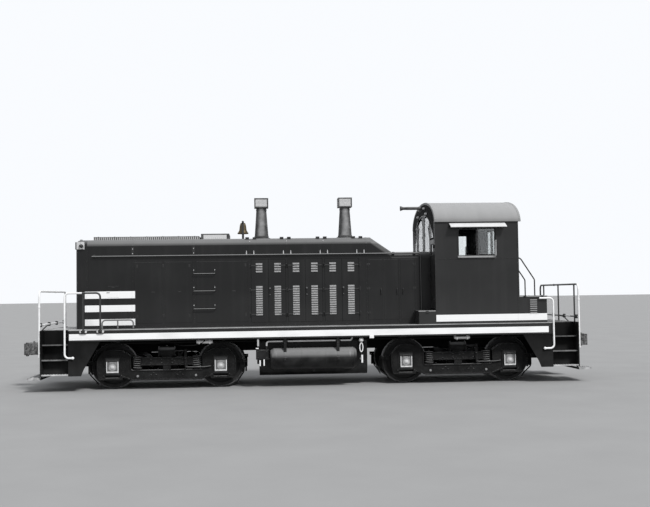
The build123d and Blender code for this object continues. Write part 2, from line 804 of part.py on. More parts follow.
# Roof grille over the radiator: two rails with cross bars, and the raised box behind it.
grille_start = hood_front + 100
grille_end = -2620
grille_half = 640
grille_rail = 40
bar_pitch = 110
bar_width = 30
bar_lift = 20
grille_height = 80
raised_start = -2590
raised_end = -1930
raised_half = 520
raised_height = 140
with BuildPart() as roof_grille:
    both_sides(grille_start, grille_end, grille_half - grille_rail, grille_half,
               hood_high, hood_high + grille_height)
    bar_count = int((grille_end - grille_start) / bar_pitch) + 1
    for number in range(bar_count):
        x = grille_start + number * bar_pitch
        block(x, x + bar_width, grille_rail - grille_half, grille_half - grille_rail,
              hood_high + bar_lift, hood_high + grille_height - bar_lift / 2)
    block(raised_start, raised_end, -raised_half, raised_half, hood_high, hood_high + raised_height)
save(roof_grille.part, "roof_grille")

# Exhaust stacks: tapered pipes on round bases, each with a square spark screen on top.
stack_places = (-1163, 860)
stack_base_radius = 168
stack_top_radius = 118
stack_flange = 45
stack_foot = 50
stack_top = hood_high + 780
screen_half = 162
screen_top = stack_top + 230
with BuildPart() as stacks:
    for x in stack_places:
        with BuildSketch(Plane.XY.offset(hood_high)):
            with Locations((x, 0)):
                Circle(stack_base_radius + stack_flange)
        extrude(amount=stack_foot)
        with BuildSketch(Plane.XY.offset(hood_high + stack_foot)):
            with Locations((x, 0)):
                Circle(stack_base_radius)
        with BuildSketch(Plane.XY.offset(stack_top)):
            with Locations((x, 0)):
                Circle(stack_top_radius)
        loft()
        block(x - screen_half, x + screen_half, -screen_half, screen_half, stack_top, screen_top)
save(stacks.part, "stacks")

# Bell: a hollow cup with its clapper, hung from a yoke between two posts.
bell_x = -1610
bell_foot_half = 170
post_thickness = 20
yoke_half = 25
yoke_bottom = hood_high + 422
yoke_depth = 30
bell_depth = 262
# Outline of the bell's outside: radius, depth under the yoke.
bell_outline = ((55, 0), (75, 60), (88, 170), (130, 250), (130, bell_depth))
bell_wall = 14
clapper_radius = 20
with BuildPart() as bell:
    block(bell_x - 130, bell_x + 130, -bell_foot_half, bell_foot_half, hood_high, hood_high + post_thickness)
    both_sides(bell_x - yoke_half, bell_x + yoke_half, bell_foot_half - post_thickness, bell_foot_half,
               hood_high + post_thickness, yoke_bottom)
    block(bell_x - yoke_half, bell_x + yoke_half, -bell_foot_half, bell_foot_half,
          yoke_bottom, yoke_bottom + yoke_depth)
    with BuildSketch(cross_plane(bell_x, 0, yoke_bottom)):
        with BuildLine():
            outside = [(radius, -depth) for radius, depth in bell_outline]
            inside = [(radius - bell_wall, -depth) for radius, depth in reversed(bell_outline[1:])]
            Polyline((0, 0), *outside, *inside, (0, inside[-1][1]), close=True)
        make_face()
    revolve(axis=Axis((bell_x, 0, 0), (0, 0, 1)))
    rod((bell_x, 0, yoke_bottom - 50), (bell_x, 0, yoke_bottom - bell_depth + 20), 7)
    with Locations((bell_x, 0, yoke_bottom - bell_depth + 20)):
        Sphere(clapper_radius)
save(bell.part, "bell")

# Horn: one trumpet on a bracket at the top of the cab's front wall, pointing forward.
horn_z = roof_crest - 111
horn_mouth_x = 2226
horn_root_x = 2660
horn_mouth_radius = 62
horn_throat = 18
horn_driver_radius = 42
horn_driver_length = 70
with BuildPart() as horn:
    with BuildSketch(side_plane(0, 0)):
        with BuildLine():
            Polyline((horn_mouth_x, horn_z + horn_mouth_radius - 8),
                     (horn_mouth_x, horn_z + horn_mouth_radius),
                     (horn_mouth_x + 60, horn_z + 40), (horn_mouth_x + 150, horn_z + 26),
                     (horn_root_x, horn_z + horn_throat), (horn_root_x, horn_z + horn_driver_radius),
                     (horn_root_x + horn_driver_length, horn_z + horn_driver_radius),
                     (horn_root_x + horn_driver_length, horn_z), (horn_mouth_x + 150, horn_z),
                     (horn_mouth_x + 60, horn_z + 30), close=True)
        make_face()
    revolve(axis=Axis((0, 0, horn_z), (1, 0, 0)))
    block(horn_root_x + 20, cab_front_x, -12, 12, horn_z - 70, horn_z - 30)
save(horn.part, "horn")

# Cab sides: full-height walls with the side window cut through and an arm rest below it.
side_window_low = 3320
side_window_high = 4210
side_window_bottom = window_sill_z - 25
side_window_top = side_window_bottom + 660
arm_rest_reach = 45
arm_rest_depth = 40
with BuildPart() as cab_sides:
    both_sides(cab_front_x, cab_rear_x, inner_half, cab_half, deck_top, eaves_z)
    both_sides(side_window_low, side_window_high, inner_half, cab_half, side_window_bottom, side_window_top,
               mode=Mode.SUBTRACT)
    both_sides(side_window_low - 10, side_window_high - 40, cab_half, cab_half + arm_rest_reach,
               side_window_bottom - arm_rest_depth, side_window_bottom)
save(cab_sides.part, "cab_sides")

# Cab roof: an elliptical arch, thicker where it sits on the side walls, with a drip rail.
roof_overhang = 55
roof_end_x = cab_rear_x + roof_overhang
roof_half = cab_half + 30
roof_thickness = 42
inner_rise = roof_rise - roof_thickness
drip_height = 14
with BuildPart() as cab_roof:
    with BuildSketch(cross_plane(cab_front_x)):
        with Locations((0, eaves_z)):
            Ellipse(roof_half, roof_rise)
            Ellipse(inner_half, inner_rise, mode=Mode.SUBTRACT)
            Rectangle(2 * roof_half, roof_rise, align=(Align.CENTER, Align.MAX), mode=Mode.SUBTRACT)
    extrude(amount=roof_end_x - cab_front_x)
    both_sides(cab_front_x, roof_end_x, roof_half - 10, roof_half + drip_height,
               eaves_z, eaves_z + drip_height)
save(cab_roof.part, "cab_roof")

# Cab ends: arched walls with windows that follow the arch in front, and a doorway in each.
arch_fit = 0.3
arch_window_half = inner_half - 70
arch_window_z = window_sill_z + 147
arch_window_rise = eaves_z + inner_rise - 263 - arch_window_z
mullion_half = 30
front_mullion_y = 895
rear_mullion_y = 910
front_door_width = 480
rear_door_half = 305
# Doorways: low Y, high Y, top.
front_door = (25 - inner_half, 25 - inner_half + front_door_width, floor_top + 1602)
rear_door = (-rear_door_half, rear_door_half, floor_top + 1832)
rear_window_inner = rear_door_half + 115
rear_window_top = window_sill_z + 687
door_post = 40


def end_outline():
    """Draws a cab end's outer edge, from the deck up to just under the roof."""
    with Locations((0, deck_top)):
        Rectangle(2 * inner_half, eaves_z - deck_top, align=(Align.CENTER, Align.MIN))
    with Locations((0, eaves_z)):
        Ellipse(inner_half - arch_fit, inner_rise - arch_fit)


with BuildSketch(Plane.XY) as front_glass_outline:
    with Locations((0, arch_window_z)):
        Ellipse(arch_window_half, arch_window_rise)
    with Locations((0, arch_window_z)):
        Rectangle(2 * arch_window_half, arch_window_z - window_sill_z, align=(Align.CENTER, Align.MAX))
    with Locations((0, window_sill_z)):
        Rectangle(2 * cab_half, eaves_z, align=(Align.CENTER, Align.MAX), mode=Mode.SUBTRACT)
    with Locations(*[(y, window_sill_z) for y in (-front_mullion_y, 0, front_mullion_y)]):
        Rectangle(2 * mullion_half, eaves_z, align=(Align.CENTER, Align.MIN), mode=Mode.SUBTRACT)
    door_low, door_high, door_head = front_door
    with Locations(((door_low + door_high) / 2, door_head + door_post)):
        Rectangle(door_high - door_low + door_post, eaves_z, align=(Align.CENTER, Align.MAX),
                  mode=Mode.SUBTRACT)

with BuildSketch(Plane.XY) as rear_glass_outline:
    for side in sides:
        with Locations((side * (rear_window_inner + arch_window_half) / 2, window_sill_z)):
            Rectangle(arch_window_half - rear_window_inner, rear_window_top - window_sill_z,
                      align=(Align.CENTER, Align.MIN))
        with Locations((side * rear_mullion_y, window_sill_z)):
            Rectangle(2 * mullion_half, eaves_z, align=(Align.CENTER, Align.MIN), mode=Mode.SUBTRACT)

# Cab ends and their doors: wall face, way out, hinge edge, way the leaf runs, doorway, glass.
cab_leaf_thickness = 40
cab_hinge_heights = (floor_top + 222, floor_top + 1422)
door_pane_margin = 90
door_pane_inset = 14
handle_z = floor_top + 656
handle_length = 192
handle_reach = 40
handle_bar = 12
handle_half = 8
handle_margin = 50
cab_doors = {
    "front": (cab_front_x, -1, front_door[0], 1, front_door, front_glass_outline),
    "rear": (cab_rear_x, 1, rear_door[1], -1, rear_door, rear_glass_outline),
}
for name, (face_x, out, edge_y, run, doorway, glass_outline) in cab_doors.items():
    wall_start = face_x if out < 0 else face_x - cab_wall
    hinge_x = face_x + out * hinge_out
    hinge_y = edge_y - run * hinge_back
    low, high, top = doorway
    with BuildPart() as cab_end:
        with BuildSketch(cross_plane(wall_start)):
            end_outline()
            add(glass_outline.sketch, mode=Mode.SUBTRACT)
            with Locations(((low + high) / 2, floor_top)):
                Rectangle(high - low, top - floor_top, align=(Align.CENTER, Align.MIN), mode=Mode.SUBTRACT)
        extrude(amount=cab_wall)
        for height in cab_hinge_heights:
            lug_low = height - hinge_barrel / 2 - lug_play - lug_thickness
            lug_high = height + hinge_barrel / 2 + lug_play
            rod((hinge_x, hinge_y, lug_low), (hinge_x, hinge_y, lug_high + lug_thickness), hinge_pin)
            for lug in (lug_low, lug_high):
                with BuildSketch(Plane.XY.offset(lug)):
                    with Locations((hinge_x, hinge_y)):
                        Circle(hinge_radius)
                    with Locations((face_x + out * hinge_out / 2, hinge_y - run * hinge_radius / 2)):
                        Rectangle(hinge_out, hinge_radius)
                extrude(amount=lug_thickness)
    save(cab_end.part, f"cab_{name}_wall")
    with BuildPart() as cab_door:
        x0, x1 = sorted((face_x, face_x - out * cab_leaf_thickness))
        block(x0, x1, low + leaf_clearance, high - leaf_clearance,
              floor_top + leaf_clearance, top - leaf_clearance)
        for face, inner_face in ((x0, x0 + door_pane_inset), (x1 - door_pane_inset, x1)):
            block(face, inner_face, low + door_pane_margin, high - door_pane_margin,
                  window_sill_z, top - door_pane_margin - 20, mode=Mode.SUBTRACT)
        for height in cab_hinge_heights:
            with BuildSketch(Plane.XY.offset(height - hinge_barrel / 2)):
                with Locations((hinge_x, hinge_y)):
                    Circle(hinge_radius)
                with Locations((face_x + out * hinge_out / 2, hinge_y + run * hinge_radius / 2)):
                    Rectangle(hinge_out, hinge_radius)
                with Locations((face_x + out * strap_thickness / 2, hinge_y + run * strap_length / 2)):
                    Rectangle(strap_thickness, strap_length)
                with Locations((hinge_x, hinge_y)):
                    Circle(hinge_pin + running_fit, mode=Mode.SUBTRACT)
            extrude(amount=hinge_barrel)
        handle_y = (high if run > 0 else low) - run * handle_margin
        x0, x1 = sorted((face_x, face_x + out * handle_reach))
        for z in (handle_z, handle_z + handle_length - 2 * handle_half):
            block(x0, x1, handle_y - handle_half, handle_y + handle_half, z, z + 2 * handle_half)
        x0, x1 = sorted((face_x + out * (handle_reach - handle_bar), face_x + out * handle_reach))
        block(x0, x1, handle_y - handle_half, handle_y + handle_half, handle_z, handle_z + handle_length)
    save(cab_door.part, f"cab_{name}_door")

# Cab glass: fixed panes in the ends, and a sliding pair in each side window.
pane_thickness = 8
outer_pane_y = cab_half - 30
inner_pane_y = cab_half - 45
with BuildPart() as cab_glass:
    for outline, x in ((front_glass_outline, cab_front_x), (rear_glass_outline, cab_rear_x - cab_wall)):
        with BuildSketch(cross_plane(x + (cab_wall - pane_thickness) / 2)):
            add(outline.sketch)
        extrude(amount=pane_thickness)
    middle = (side_window_low + side_window_high) / 2
    for start, pane_y in ((middle - 20, outer_pane_y), (middle + 40, inner_pane_y)):
        both_sides(start, side_window_high, pane_y, pane_y + pane_thickness,
                   side_window_bottom, side_window_top)
save(cab_glass.part, "cab_glass")

# Awnings over the side windows.
awning_start = 3120
awning_end = 4420
awning_reach = 200
awning_z = eaves_z - 25
awning_drop = 95
awning_sheet = 10
with BuildPart() as awnings:
    with BuildSketch(cross_plane(awning_start)):
        with BuildLine():
            Polyline((cab_half, awning_z), (cab_half + awning_reach, awning_z - awning_drop),
                     (cab_half + awning_reach, awning_z - awning_drop - awning_sheet),
                     (cab_half, awning_z - awning_sheet), close=True)
        make_face()
        mirror(about=Plane.YZ)
    extrude(amount=awning_end - awning_start)
save(awnings.part, "awnings")

# Cab floor between the four walls.
with BuildPart() as cab_floor:
    block(cab_front_x + cab_wall, cab_rear_x - cab_wall, -inner_half, inner_half,
          floor_top - floor_thickness, floor_top)
save(cab_floor.part, "cab_floor")

# Seats: a pedestal, a cushion and a backrest at each side window.
seat_x = 3780
seat_y = inner_half - 320
seat_half = 220
seat_z = floor_top + 502
cushion_height = 110
cushion_corner = 45
back_thickness = 70
back_top = seat_z + 520
with BuildPart() as seats:
    for side in sides:
        y = side * seat_y
        with Locations((seat_x, y, seat_z + cushion_height / 2)):
            Box(2 * seat_half, 2 * seat_half, cushion_height)
    fillet(seats.edges().filter_by(Axis.Z), radius=cushion_corner)
    for side in sides:
        y = side * seat_y
        rod((seat_x, y, floor_top), (seat_x, y, seat_z), 45)
        rod((seat_x, y, floor_top), (seat_x, y, floor_top + 20), 150)
        with BuildSketch(cross_plane(seat_x + seat_half - back_thickness)):
            with Locations((y, (seat_z + cushion_height + back_top) / 2)):
                RectangleRounded(2 * seat_half - 60, back_top - seat_z - cushion_height, cushion_corner)
            with Locations((y, seat_z + cushion_height)):
                Rectangle(120, 120)
        extrude(amount=back_thickness)
save(seats.part, "seats")

# Control stand by the near side window, with its brake and throttle handles.
stand_x = 3130
stand_half = 200
stand_outer = inner_half - 120
stand_inner = inner_half - 500
stand_top = floor_top + 992
handle_shafts = ((60, 60), (-60, 100))
control_y = -(stand_outer + stand_inner) / 2
with BuildPart() as control_stand:
    block(stand_x - stand_half, stand_x + stand_half, -stand_outer, -stand_inner, floor_top, stand_top)
    for offset_x, rise in handle_shafts:
        x = stand_x + offset_x
        rod((x, control_y, stand_top), (x, control_y, stand_top + rise), 14)
        rod((x, control_y, stand_top + rise - 14), (x + 130, control_y, stand_top + rise - 14), 12)
save(control_stand.part, "control_stand")

# Boxes at the cab's ends: lidded battery boxes with vents, a step between them, and tool boxes.
battery_end = 5365
battery_top = deck_top + 620
battery_inner = 390
lid_overhang = 12
lid_thickness = 25
vent_start = 4970
vent_end = 5130
vent_bottom = deck_top + 222
vent_pitch = 48
vent_count = 7
vent_reach = 14
tool_box_start = 2390
tool_box_top = deck_top + 312
door_step_depth = 280
door_step_top = deck_top + 182
with BuildPart() as cab_boxes:
    both_sides(cab_rear_x, battery_end, battery_inner, cab_half, deck_top, battery_top)
    both_sides(cab_rear_x, battery_end + lid_overhang, battery_inner, cab_half + lid_overhang,
               battery_top - lid_thickness, battery_top)
    with BuildSketch(cross_plane(vent_start)):
        for number in range(vent_count):
            z = vent_bottom + number * vent_pitch
            with BuildLine():
                Polyline((cab_half, z), (cab_half + vent_reach, z), (cab_half, z + vent_pitch / 2),
                         close=True)
            make_face()
        mirror(about=Plane.YZ)
    extrude(amount=vent_end - vent_start)
    block(cab_rear_x, cab_rear_x + door_step_depth, -battery_inner, battery_inner, deck_top, door_step_top)
    both_sides(tool_box_start, cab_front_x, hood_half, cab_half, deck_top, tool_box_top)
    both_sides(tool_box_start - lid_overhang, cab_front_x, hood_half, cab_half,
               tool_box_top - lid_thickness, tool_box_top)
save(cab_boxes.part, "cab_boxes")

# Handrails: a hoop with posts across each end, and a bent rail at each corner on foot plates.
rail_radius = 21
lever_radius = 17
end_rail_x = end_plate_x + end_plate_thickness + rail_radius + seat_gap
end_rail_y = half_width - 44
end_rail_foot = 788
end_rail_top = deck_top + 870
end_rail_bend = 110
lever_z = deck_top + 120
rear_posts = (-1180, 0, 1180)
clamp_heights = (860, 1300)
clamp_half = 30
corner_rail_y = half_width + rail_radius + seat_gap
corner_rail_x = 5550
corner_rail_top = deck_top + 820
corner_rail_low = 762
corner_hook_x = 5390
corner_rail_end = 4770
corner_post_x = 5145
rail_bend = 90
foot_half = 60
foot_depth = 60
rear_rail_x = 5497
rear_rail_start = 5175
rear_hook_x = 5300
rear_rail_z = battery_top - 61
stub_radius = 16
post_radius = 18
grab_places = (420, 1210)
grab_start_z = window_sill_z - 73
grab_bend_z = battery_top + 372
grab_x = cab_rear_x + 440
grab_radius = 15
grab_stub = 110
grab_bend = 90
with BuildPart() as handrails:
    for end in sides:
        x = end * end_rail_x
        pipe([(x, -end_rail_y, end_rail_foot), (x, -end_rail_y, end_rail_top), (x, end_rail_y, end_rail_top),
              (x, end_rail_y, end_rail_foot)], rail_radius, end_rail_bend)
        rod((x, -end_rail_y, lever_z), (x, end_rail_y, lever_z), lever_radius)
        low, high = sorted((end * (end_plate_x + end_plate_thickness), x))
        for z in clamp_heights:
            both_sides(low, high, end_rail_y - clamp_half, end_rail_y + clamp_half, z, z + clamp_half)
    for y in rear_posts:
        rod((end_rail_x, y, deck_top - foot_depth), (end_rail_x, y, end_rail_top), post_radius)
        block(end_plate_x + end_plate_thickness, end_rail_x, y - clamp_half, y + clamp_half,
              deck_top - foot_depth, deck_top)
    y = corner_rail_y
    pipe([(-corner_hook_x, y, corner_rail_low), (-corner_rail_x, y, corner_rail_low),
          (-corner_rail_x, y, corner_rail_top), (-corner_rail_end, y, corner_rail_top),
          (-corner_rail_end, y, deck_top - foot_depth)], rail_radius, rail_bend)
    rod((-corner_post_x, y, deck_top - foot_depth), (-corner_post_x, y, corner_rail_top), post_radius)
    for x in (corner_rail_end, corner_post_x):
        block(-x - foot_half, -x + foot_half, half_width, y, deck_top - foot_depth, deck_top)
    pipe([(rear_rail_start, y, rear_rail_z), (rear_rail_x, y, rear_rail_z), (rear_rail_x, y, end_rail_foot),
          (rear_hook_x, y, end_rail_foot)], rail_radius, rail_bend)
    skirt_face = skirt_y + skirt_thickness
    rod((-corner_hook_x, skirt_face, corner_rail_low), (-corner_hook_x, y, corner_rail_low), stub_radius)
    rod((rear_hook_x, skirt_face, end_rail_foot), (rear_hook_x, y, end_rail_foot), stub_radius)
    stub_x = rear_rail_start + 20
    rod((stub_x, cab_half, rear_rail_z), (stub_x, y, rear_rail_z), stub_radius)
    for y in grab_places:
        pipe([(cab_rear_x, y, grab_start_z), (cab_rear_x + grab_stub, y, grab_start_z),
              (grab_x, y, grab_bend_z), (grab_x, y, battery_top)], grab_radius, grab_bend)
    mirror(about=Plane.XZ)
save(handrails.part, "handrails")

# Hood rails: the long pipe under the eaves on its brackets, the side rungs and the low hoops.
hood_rail_y = hood_half + 48
hood_rail_z = hood_low - 40
hood_rail_radius = 17
hood_rail_start = -5050
hood_rail_end = 2540
hood_rail_bend = 60
bracket_radius = 10
bracket_places = (-5000, -4130, -2740, *door_edges, 1900, 2400)
rung_heights = (deck_top + 420, deck_top + 830, deck_top + 1230)
rung_start = -2740
rung_end = -2260
rung_reach = 70
rung_radius = 12
hoop_y = hood_half + 186
hoop_start = -4800
hoop_end = -4100
hoop_top = deck_top + 200
hoop_bend = 80
with BuildPart() as hood_rails:
    pipe([(hood_rail_start, -hood_rail_y, hood_rail_z), (hood_rail_end, -hood_rail_y, hood_rail_z),
          (hood_rail_end, -hood_rail_y, tool_box_top)], hood_rail_radius, hood_rail_bend)
    for x in bracket_places:
        rod((x, -hood_half, hood_rail_z), (x, -hood_rail_y, hood_rail_z), bracket_radius)
    for z in rung_heights:
        pipe([(rung_start, -hood_half, z), (rung_start, -hood_half - rung_reach, z),
              (rung_end, -hood_half - rung_reach, z), (rung_end, -hood_half, z)], rung_radius, 2 * rung_radius)
    pipe([(hoop_start, -hoop_y, deck_top), (hoop_start, -hoop_y, hoop_top), (hoop_end, -hoop_y, hoop_top),
          (hoop_end, -hoop_y, deck_top)], hood_rail_radius, hoop_bend)
    hoop_middle = (hoop_start + hoop_end) / 2
    rod((hoop_middle, -hoop_y, deck_top), (hoop_middle, -hoop_y, hoop_top), stub_radius)
    mirror(about=Plane.XZ)
save(hood_rails.part, "hood_rails")

# Engine: one plain block on the centre of the deck.
engine_start = -2300
engine_end = 1200
engine_half = 560
engine_top = hood_low - 168
with BuildPart() as engine:
    block(engine_start, engine_end, -engine_half, engine_half, deck_top, engine_top)
save(engine.part, "engine")
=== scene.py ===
import bmesh
import bpy
import numpy as np
from mathutils import Matrix


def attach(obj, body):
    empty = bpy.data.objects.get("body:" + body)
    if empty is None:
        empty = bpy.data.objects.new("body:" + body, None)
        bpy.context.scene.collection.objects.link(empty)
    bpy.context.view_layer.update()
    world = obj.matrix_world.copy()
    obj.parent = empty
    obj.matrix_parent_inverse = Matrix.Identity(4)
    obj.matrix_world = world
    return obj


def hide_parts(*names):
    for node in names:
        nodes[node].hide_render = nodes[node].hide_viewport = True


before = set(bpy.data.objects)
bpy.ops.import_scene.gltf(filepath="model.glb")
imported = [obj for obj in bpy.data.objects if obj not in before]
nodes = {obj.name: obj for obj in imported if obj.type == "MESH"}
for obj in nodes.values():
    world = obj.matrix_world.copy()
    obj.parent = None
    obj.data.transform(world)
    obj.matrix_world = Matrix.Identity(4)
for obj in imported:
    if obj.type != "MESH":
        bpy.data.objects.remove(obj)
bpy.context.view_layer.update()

# The camera stands at the photograph's place: 23 m out on the near side, two metres up, looking
# slightly to the right along the locomotive's side. Its lens is 53 mm long; the frame's size of 650 by 507 is
# not set here.
camera_place = np.array([-1.3322, -23.2067, 2.0947])
camera_yaw, camera_pitch, camera_roll = -0.0731, 0.0425, -0.0144
forward = np.array([
    -np.sin(camera_yaw) * np.cos(camera_pitch),
    np.cos(camera_yaw) * np.cos(camera_pitch),
    np.sin(camera_pitch),
])
level_right = np.array([np.cos(camera_yaw), np.sin(camera_yaw), 0.0])
level_up = np.cross(level_right, forward)
right = np.cos(camera_roll) * level_right + np.sin(camera_roll) * level_up
up = -np.sin(camera_roll) * level_right + np.cos(camera_roll) * level_up
camera_data = bpy.data.cameras.new("camera")
camera_data.sensor_width = 36.0
camera_data.lens = 53.16
camera_data.clip_end = 2000.0
camera = bpy.data.objects.new("camera", camera_data)
bpy.context.scene.collection.objects.link(camera)
stance = np.eye(4)
stance[:3] = np.stack([right, up, -forward, camera_place], axis=1)
camera.matrix_world = Matrix(stance.tolist())
bpy.context.scene.camera = camera


# The studio: a pale floor far past the camera's view, a white sky behind it and one soft high
# light that falls from the camera's right, as the daylight does in the photograph.
class Signal:
    """A socket inside a material, so that shader maths reads as Python on its values."""

    def __init__(self, tree, socket):
        self.tree = tree
        self.socket = socket

    def node(self, kind, settings=None, feeds=None, output=0):
        """Adds one node: its settings come first, then what feeds its sockets."""
        made = self.tree.nodes.new(kind)
        for name, value in (settings or {}).items():
            setattr(made, name, value)
        for name, value in (feeds or {}).items():
            if isinstance(value, Signal):
                self.tree.links.new(value.socket, made.inputs[name])
            else:
                made.inputs[name].default_value = value
        return Signal(self.tree, made.outputs[output])

    def maths(self, operation, first, second=0.0):
        """Adds one Math node on two values."""
        return self.node("ShaderNodeMath", {"operation": operation}, {0: first, 1: second})

    def __add__(self, other):
        return self.maths("ADD", self, other)

    __radd__ = __add__

    def __mul__(self, other):
        return self.maths("MULTIPLY", self, other)

    __rmul__ = __mul__

    def __sub__(self, other):
        return self.maths("SUBTRACT", self, other)

    def __rsub__(self, other):
        return self.maths("SUBTRACT", other, self)

    def __pow__(self, other):
        return self.maths("POWER", self, other)

    def __gt__(self, other):
        return self.maths("GREATER_THAN", self, other)

    def __lt__(self, other):
        return self.maths("LESS_THAN", self, other)

    def __abs__(self):
        return self.maths("ABSOLUTE", self)

    def __or__(self, other):
        """The larger of two values."""
        return self.maths("MAXIMUM", self, other)

    def between(self, low, high):
        """1 where the value lies between two limits and 0 elsewhere."""
        return (self > low) * (self < high)

    def ramp(self, low, high):
        """Rises evenly from 0 at one value to 1 at another, and stays there."""
        settings = {"clamp": True}
        return self.node("ShaderNodeMapRange", settings, {"Value": self, "From Min": low, "From Max": high})

    def tint(self, dark, light):
        """Mixes two colours by this value."""
        feeds = {0: self, 6: as_colour(dark), 7: as_colour(light)}
        return self.node("ShaderNodeMix", {"data_type": "RGBA"}, feeds, output=2)


def as_colour(value):
    """A colour as four numbers, from one grey, three numbers or another signal."""
    if isinstance(value, Signal):
        return value
    if isinstance(value, (int, float)):
        return (value, value, value, 1.0)
    return (*value, 1.0)


class Finish:
    """One material under construction: its surface shader, its place signals and its noises."""

    def __init__(self, name, **constants):
        self.material = bpy.data.materials.new(name)
        self.material.use_nodes = True
        self.tree = self.material.node_tree
        self.surface = self.tree.nodes["Principled BSDF"]
        for socket, value in constants.items():
            self.surface.inputs[socket.replace("_", " ")].default_value = value
        coordinates = self.tree.nodes.new("ShaderNodeTexCoord")
        self.place = Signal(self.tree, coordinates.outputs["Object"])
        self.x, self.y, self.z = self.axes(self.place)
        geometry = self.tree.nodes.new("ShaderNodeNewGeometry")
        _, self.facing_y, self.facing_z = self.axes(Signal(self.tree, geometry.outputs["Normal"]))

    def axes(self, vector):
        """The three parts of a vector."""
        parts = vector.node("ShaderNodeSeparateXYZ", None, {0: vector}).socket.node
        return [Signal(self.tree, parts.outputs[axis]) for axis in range(3)]

    def noise(self, scale, detail=3.0, stretch=(1.0, 1.0, 1.0), roughness=0.5):
        """Smooth noise over the object, stretched along its axes."""
        place = self.place
        if stretch != (1.0, 1.0, 1.0):
            place = place.node("ShaderNodeVectorMath", {"operation": "MULTIPLY"}, {0: place, 1: stretch})
        feeds = {"Vector": place, "Scale": scale, "Detail": detail, "Roughness": roughness}
        return place.node("ShaderNodeTexNoise", None, feeds)

    def feed(self, socket, signal):
        """Feeds one socket of the surface shader."""
        self.tree.links.new(signal.socket, self.surface.inputs[socket])

    def bump(self, height, distance):
        """Turns a height signal into the surface's normal."""
        feeds = {"Height": height, "Distance": distance, "Strength": 1.0}
        self.feed("Normal", height.node("ShaderNodeBump", None, feeds))

    def onto(self, *names):
        """Paints CAD nodes with this finish."""
        for name in names:
            mesh = nodes[name].data
            mesh.materials.clear()
            mesh.materials.append(self.material)


reach = 400.0
floor_corners = [(-reach, -reach, 0), (reach, -reach, 0), (reach, reach, 0), (-reach, reach, 0)]
floor_mesh = bpy.data.meshes.new("floor")
floor_mesh.from_pydata(floor_corners, [], [(0, 1, 2, 3)])
floor = bpy.data.objects.new("floor", floor_mesh)
bpy.context.scene.collection.objects.link(floor)
floor_finish = Finish("pale_floor", Roughness=0.95, Specular_IOR_Level=0.1)
floor_finish.feed("Base Color", floor_finish.noise(0.8, 4.0).tint(0.29, 0.34))
floor_mesh.materials.append(floor_finish.material)

world = bpy.data.worlds.new("studio")
bpy.context.scene.world = world
world.use_nodes = True
sky = world.node_tree.nodes["Background"]
sky.inputs["Color"].default_value = (0.95, 0.97, 1.0, 1.0)
seen = world.node_tree.nodes.new("ShaderNodeLightPath")
ray_names = ("Is Camera Ray", "Is Transmission Ray", "Is Glossy Ray")
seen_sky = sum(Signal(world.node_tree, seen.outputs[name]) for name in ray_names) > 0.5
world.node_tree.links.new((0.66 + 0.34 * seen_sky).socket, sky.inputs["Strength"])

sun_data = bpy.data.lights.new("soft_sun", "SUN")
sun_data.energy = 3.1
sun_data.angle = 0.2
sun = bpy.data.objects.new("soft_sun", sun_data)
sun.rotation_euler = (np.radians(44), np.radians(16), np.radians(12))
bpy.context.scene.collection.objects.link(sun)
bpy.context.scene.view_settings.view_transform = "Standard"


# Wheels and axles: forged steel, dark with oil and dust, bright only where the tread and the
# flange run on the rail.
truck_centre, axle_offset, axle_z, tread_radius = 3.353, 1.219, 0.536, 0.503
wheel_steel = Finish("wheel_steel", Specular_IOR_Level=0.2)
oil = wheel_steel.noise(6.0, 5.0)
from_axle_x = abs(abs(wheel_steel.x) - truck_centre) - axle_offset
from_axle = (from_axle_x * from_axle_x + (wheel_steel.z - axle_z) ** 2.0) ** 0.5
polished = (from_axle > tread_radius) * (0.6 + 0.4 * wheel_steel.noise(20.0, 2.0))
wheel_steel.feed("Base Color", polished.tint(oil.ramp(0.3, 0.8).tint(0.006, 0.04), 0.4))
wheel_steel.feed("Metallic", polished)
wheel_steel.feed("Roughness", 0.4 + 0.4 * oil)
wheel_steel.bump(oil, 0.002)
wheel_steel.onto(*[f"wheelset_{number}" for number in range(1, 5)])


# Truck castings and couplers: side frames, bolsters, brake gear, motors and coupler heads in rough
# cast iron, under oily road dust. Every upward ledge is painted light grey, as dust and as a painted
# highlight along the top edges. The spring seats' feet and the coupler heads are rubbed.
spring_seat, seat_half, seat_face, seat_z, coupler_start = 0.655, 0.035, 1.23, (0.27, 0.33), 6.3
cast_iron = Finish("cast_iron", Specular_IOR_Level=0.08)
scale = cast_iron.noise(22.0, 5.0, roughness=0.65)
grease = cast_iron.noise(4.0, 4.0)
# Upward faces painted light: dust, and a painted highlight along the top edges.
ledge_dust_and_highlight = cast_iron.facing_z.ramp(0.25, 0.8) * (0.75 + 0.5 * grease)
cast_tone = (0.5 * grease + 0.5 * scale).ramp(0.3, 0.7).tint(0.003, 0.022)
specks = cast_iron.noise(70.0, 2.0).ramp(0.66, 0.74) * 0.35
at_seat = abs(abs(abs(cast_iron.x) - truck_centre) - spring_seat) < seat_half
seat_rub = at_seat * (cast_iron.y * cast_iron.y > seat_face) * cast_iron.z.between(*seat_z)
specks = specks + seat_rub * 0.9
coupler_rub = (abs(cast_iron.x) > coupler_start) * scale.ramp(0.35, 0.65) * 0.8
cast_iron.feed("Base Color", (ledge_dust_and_highlight + specks + coupler_rub).tint(cast_tone, 0.25))
cast_iron.feed("Roughness", 0.55 + 0.35 * scale)
cast_iron.bump(scale, 0.004)
truck_pieces = ("frame", "bolster", "brakes", "motors")
cast_iron.onto(*[f"truck_{end}_{part}" for end in ("front", "rear") for part in truck_pieces])
cast_iron.onto("coupler_front", "coupler_rear")


# Coil springs: round bar wound five times around each end of the bolster's side beams, under a
# round cap with a nut.
near = np.array((0.0, -1.0, 0.0))
upward = np.array((0.0, 0.0, 1.0))


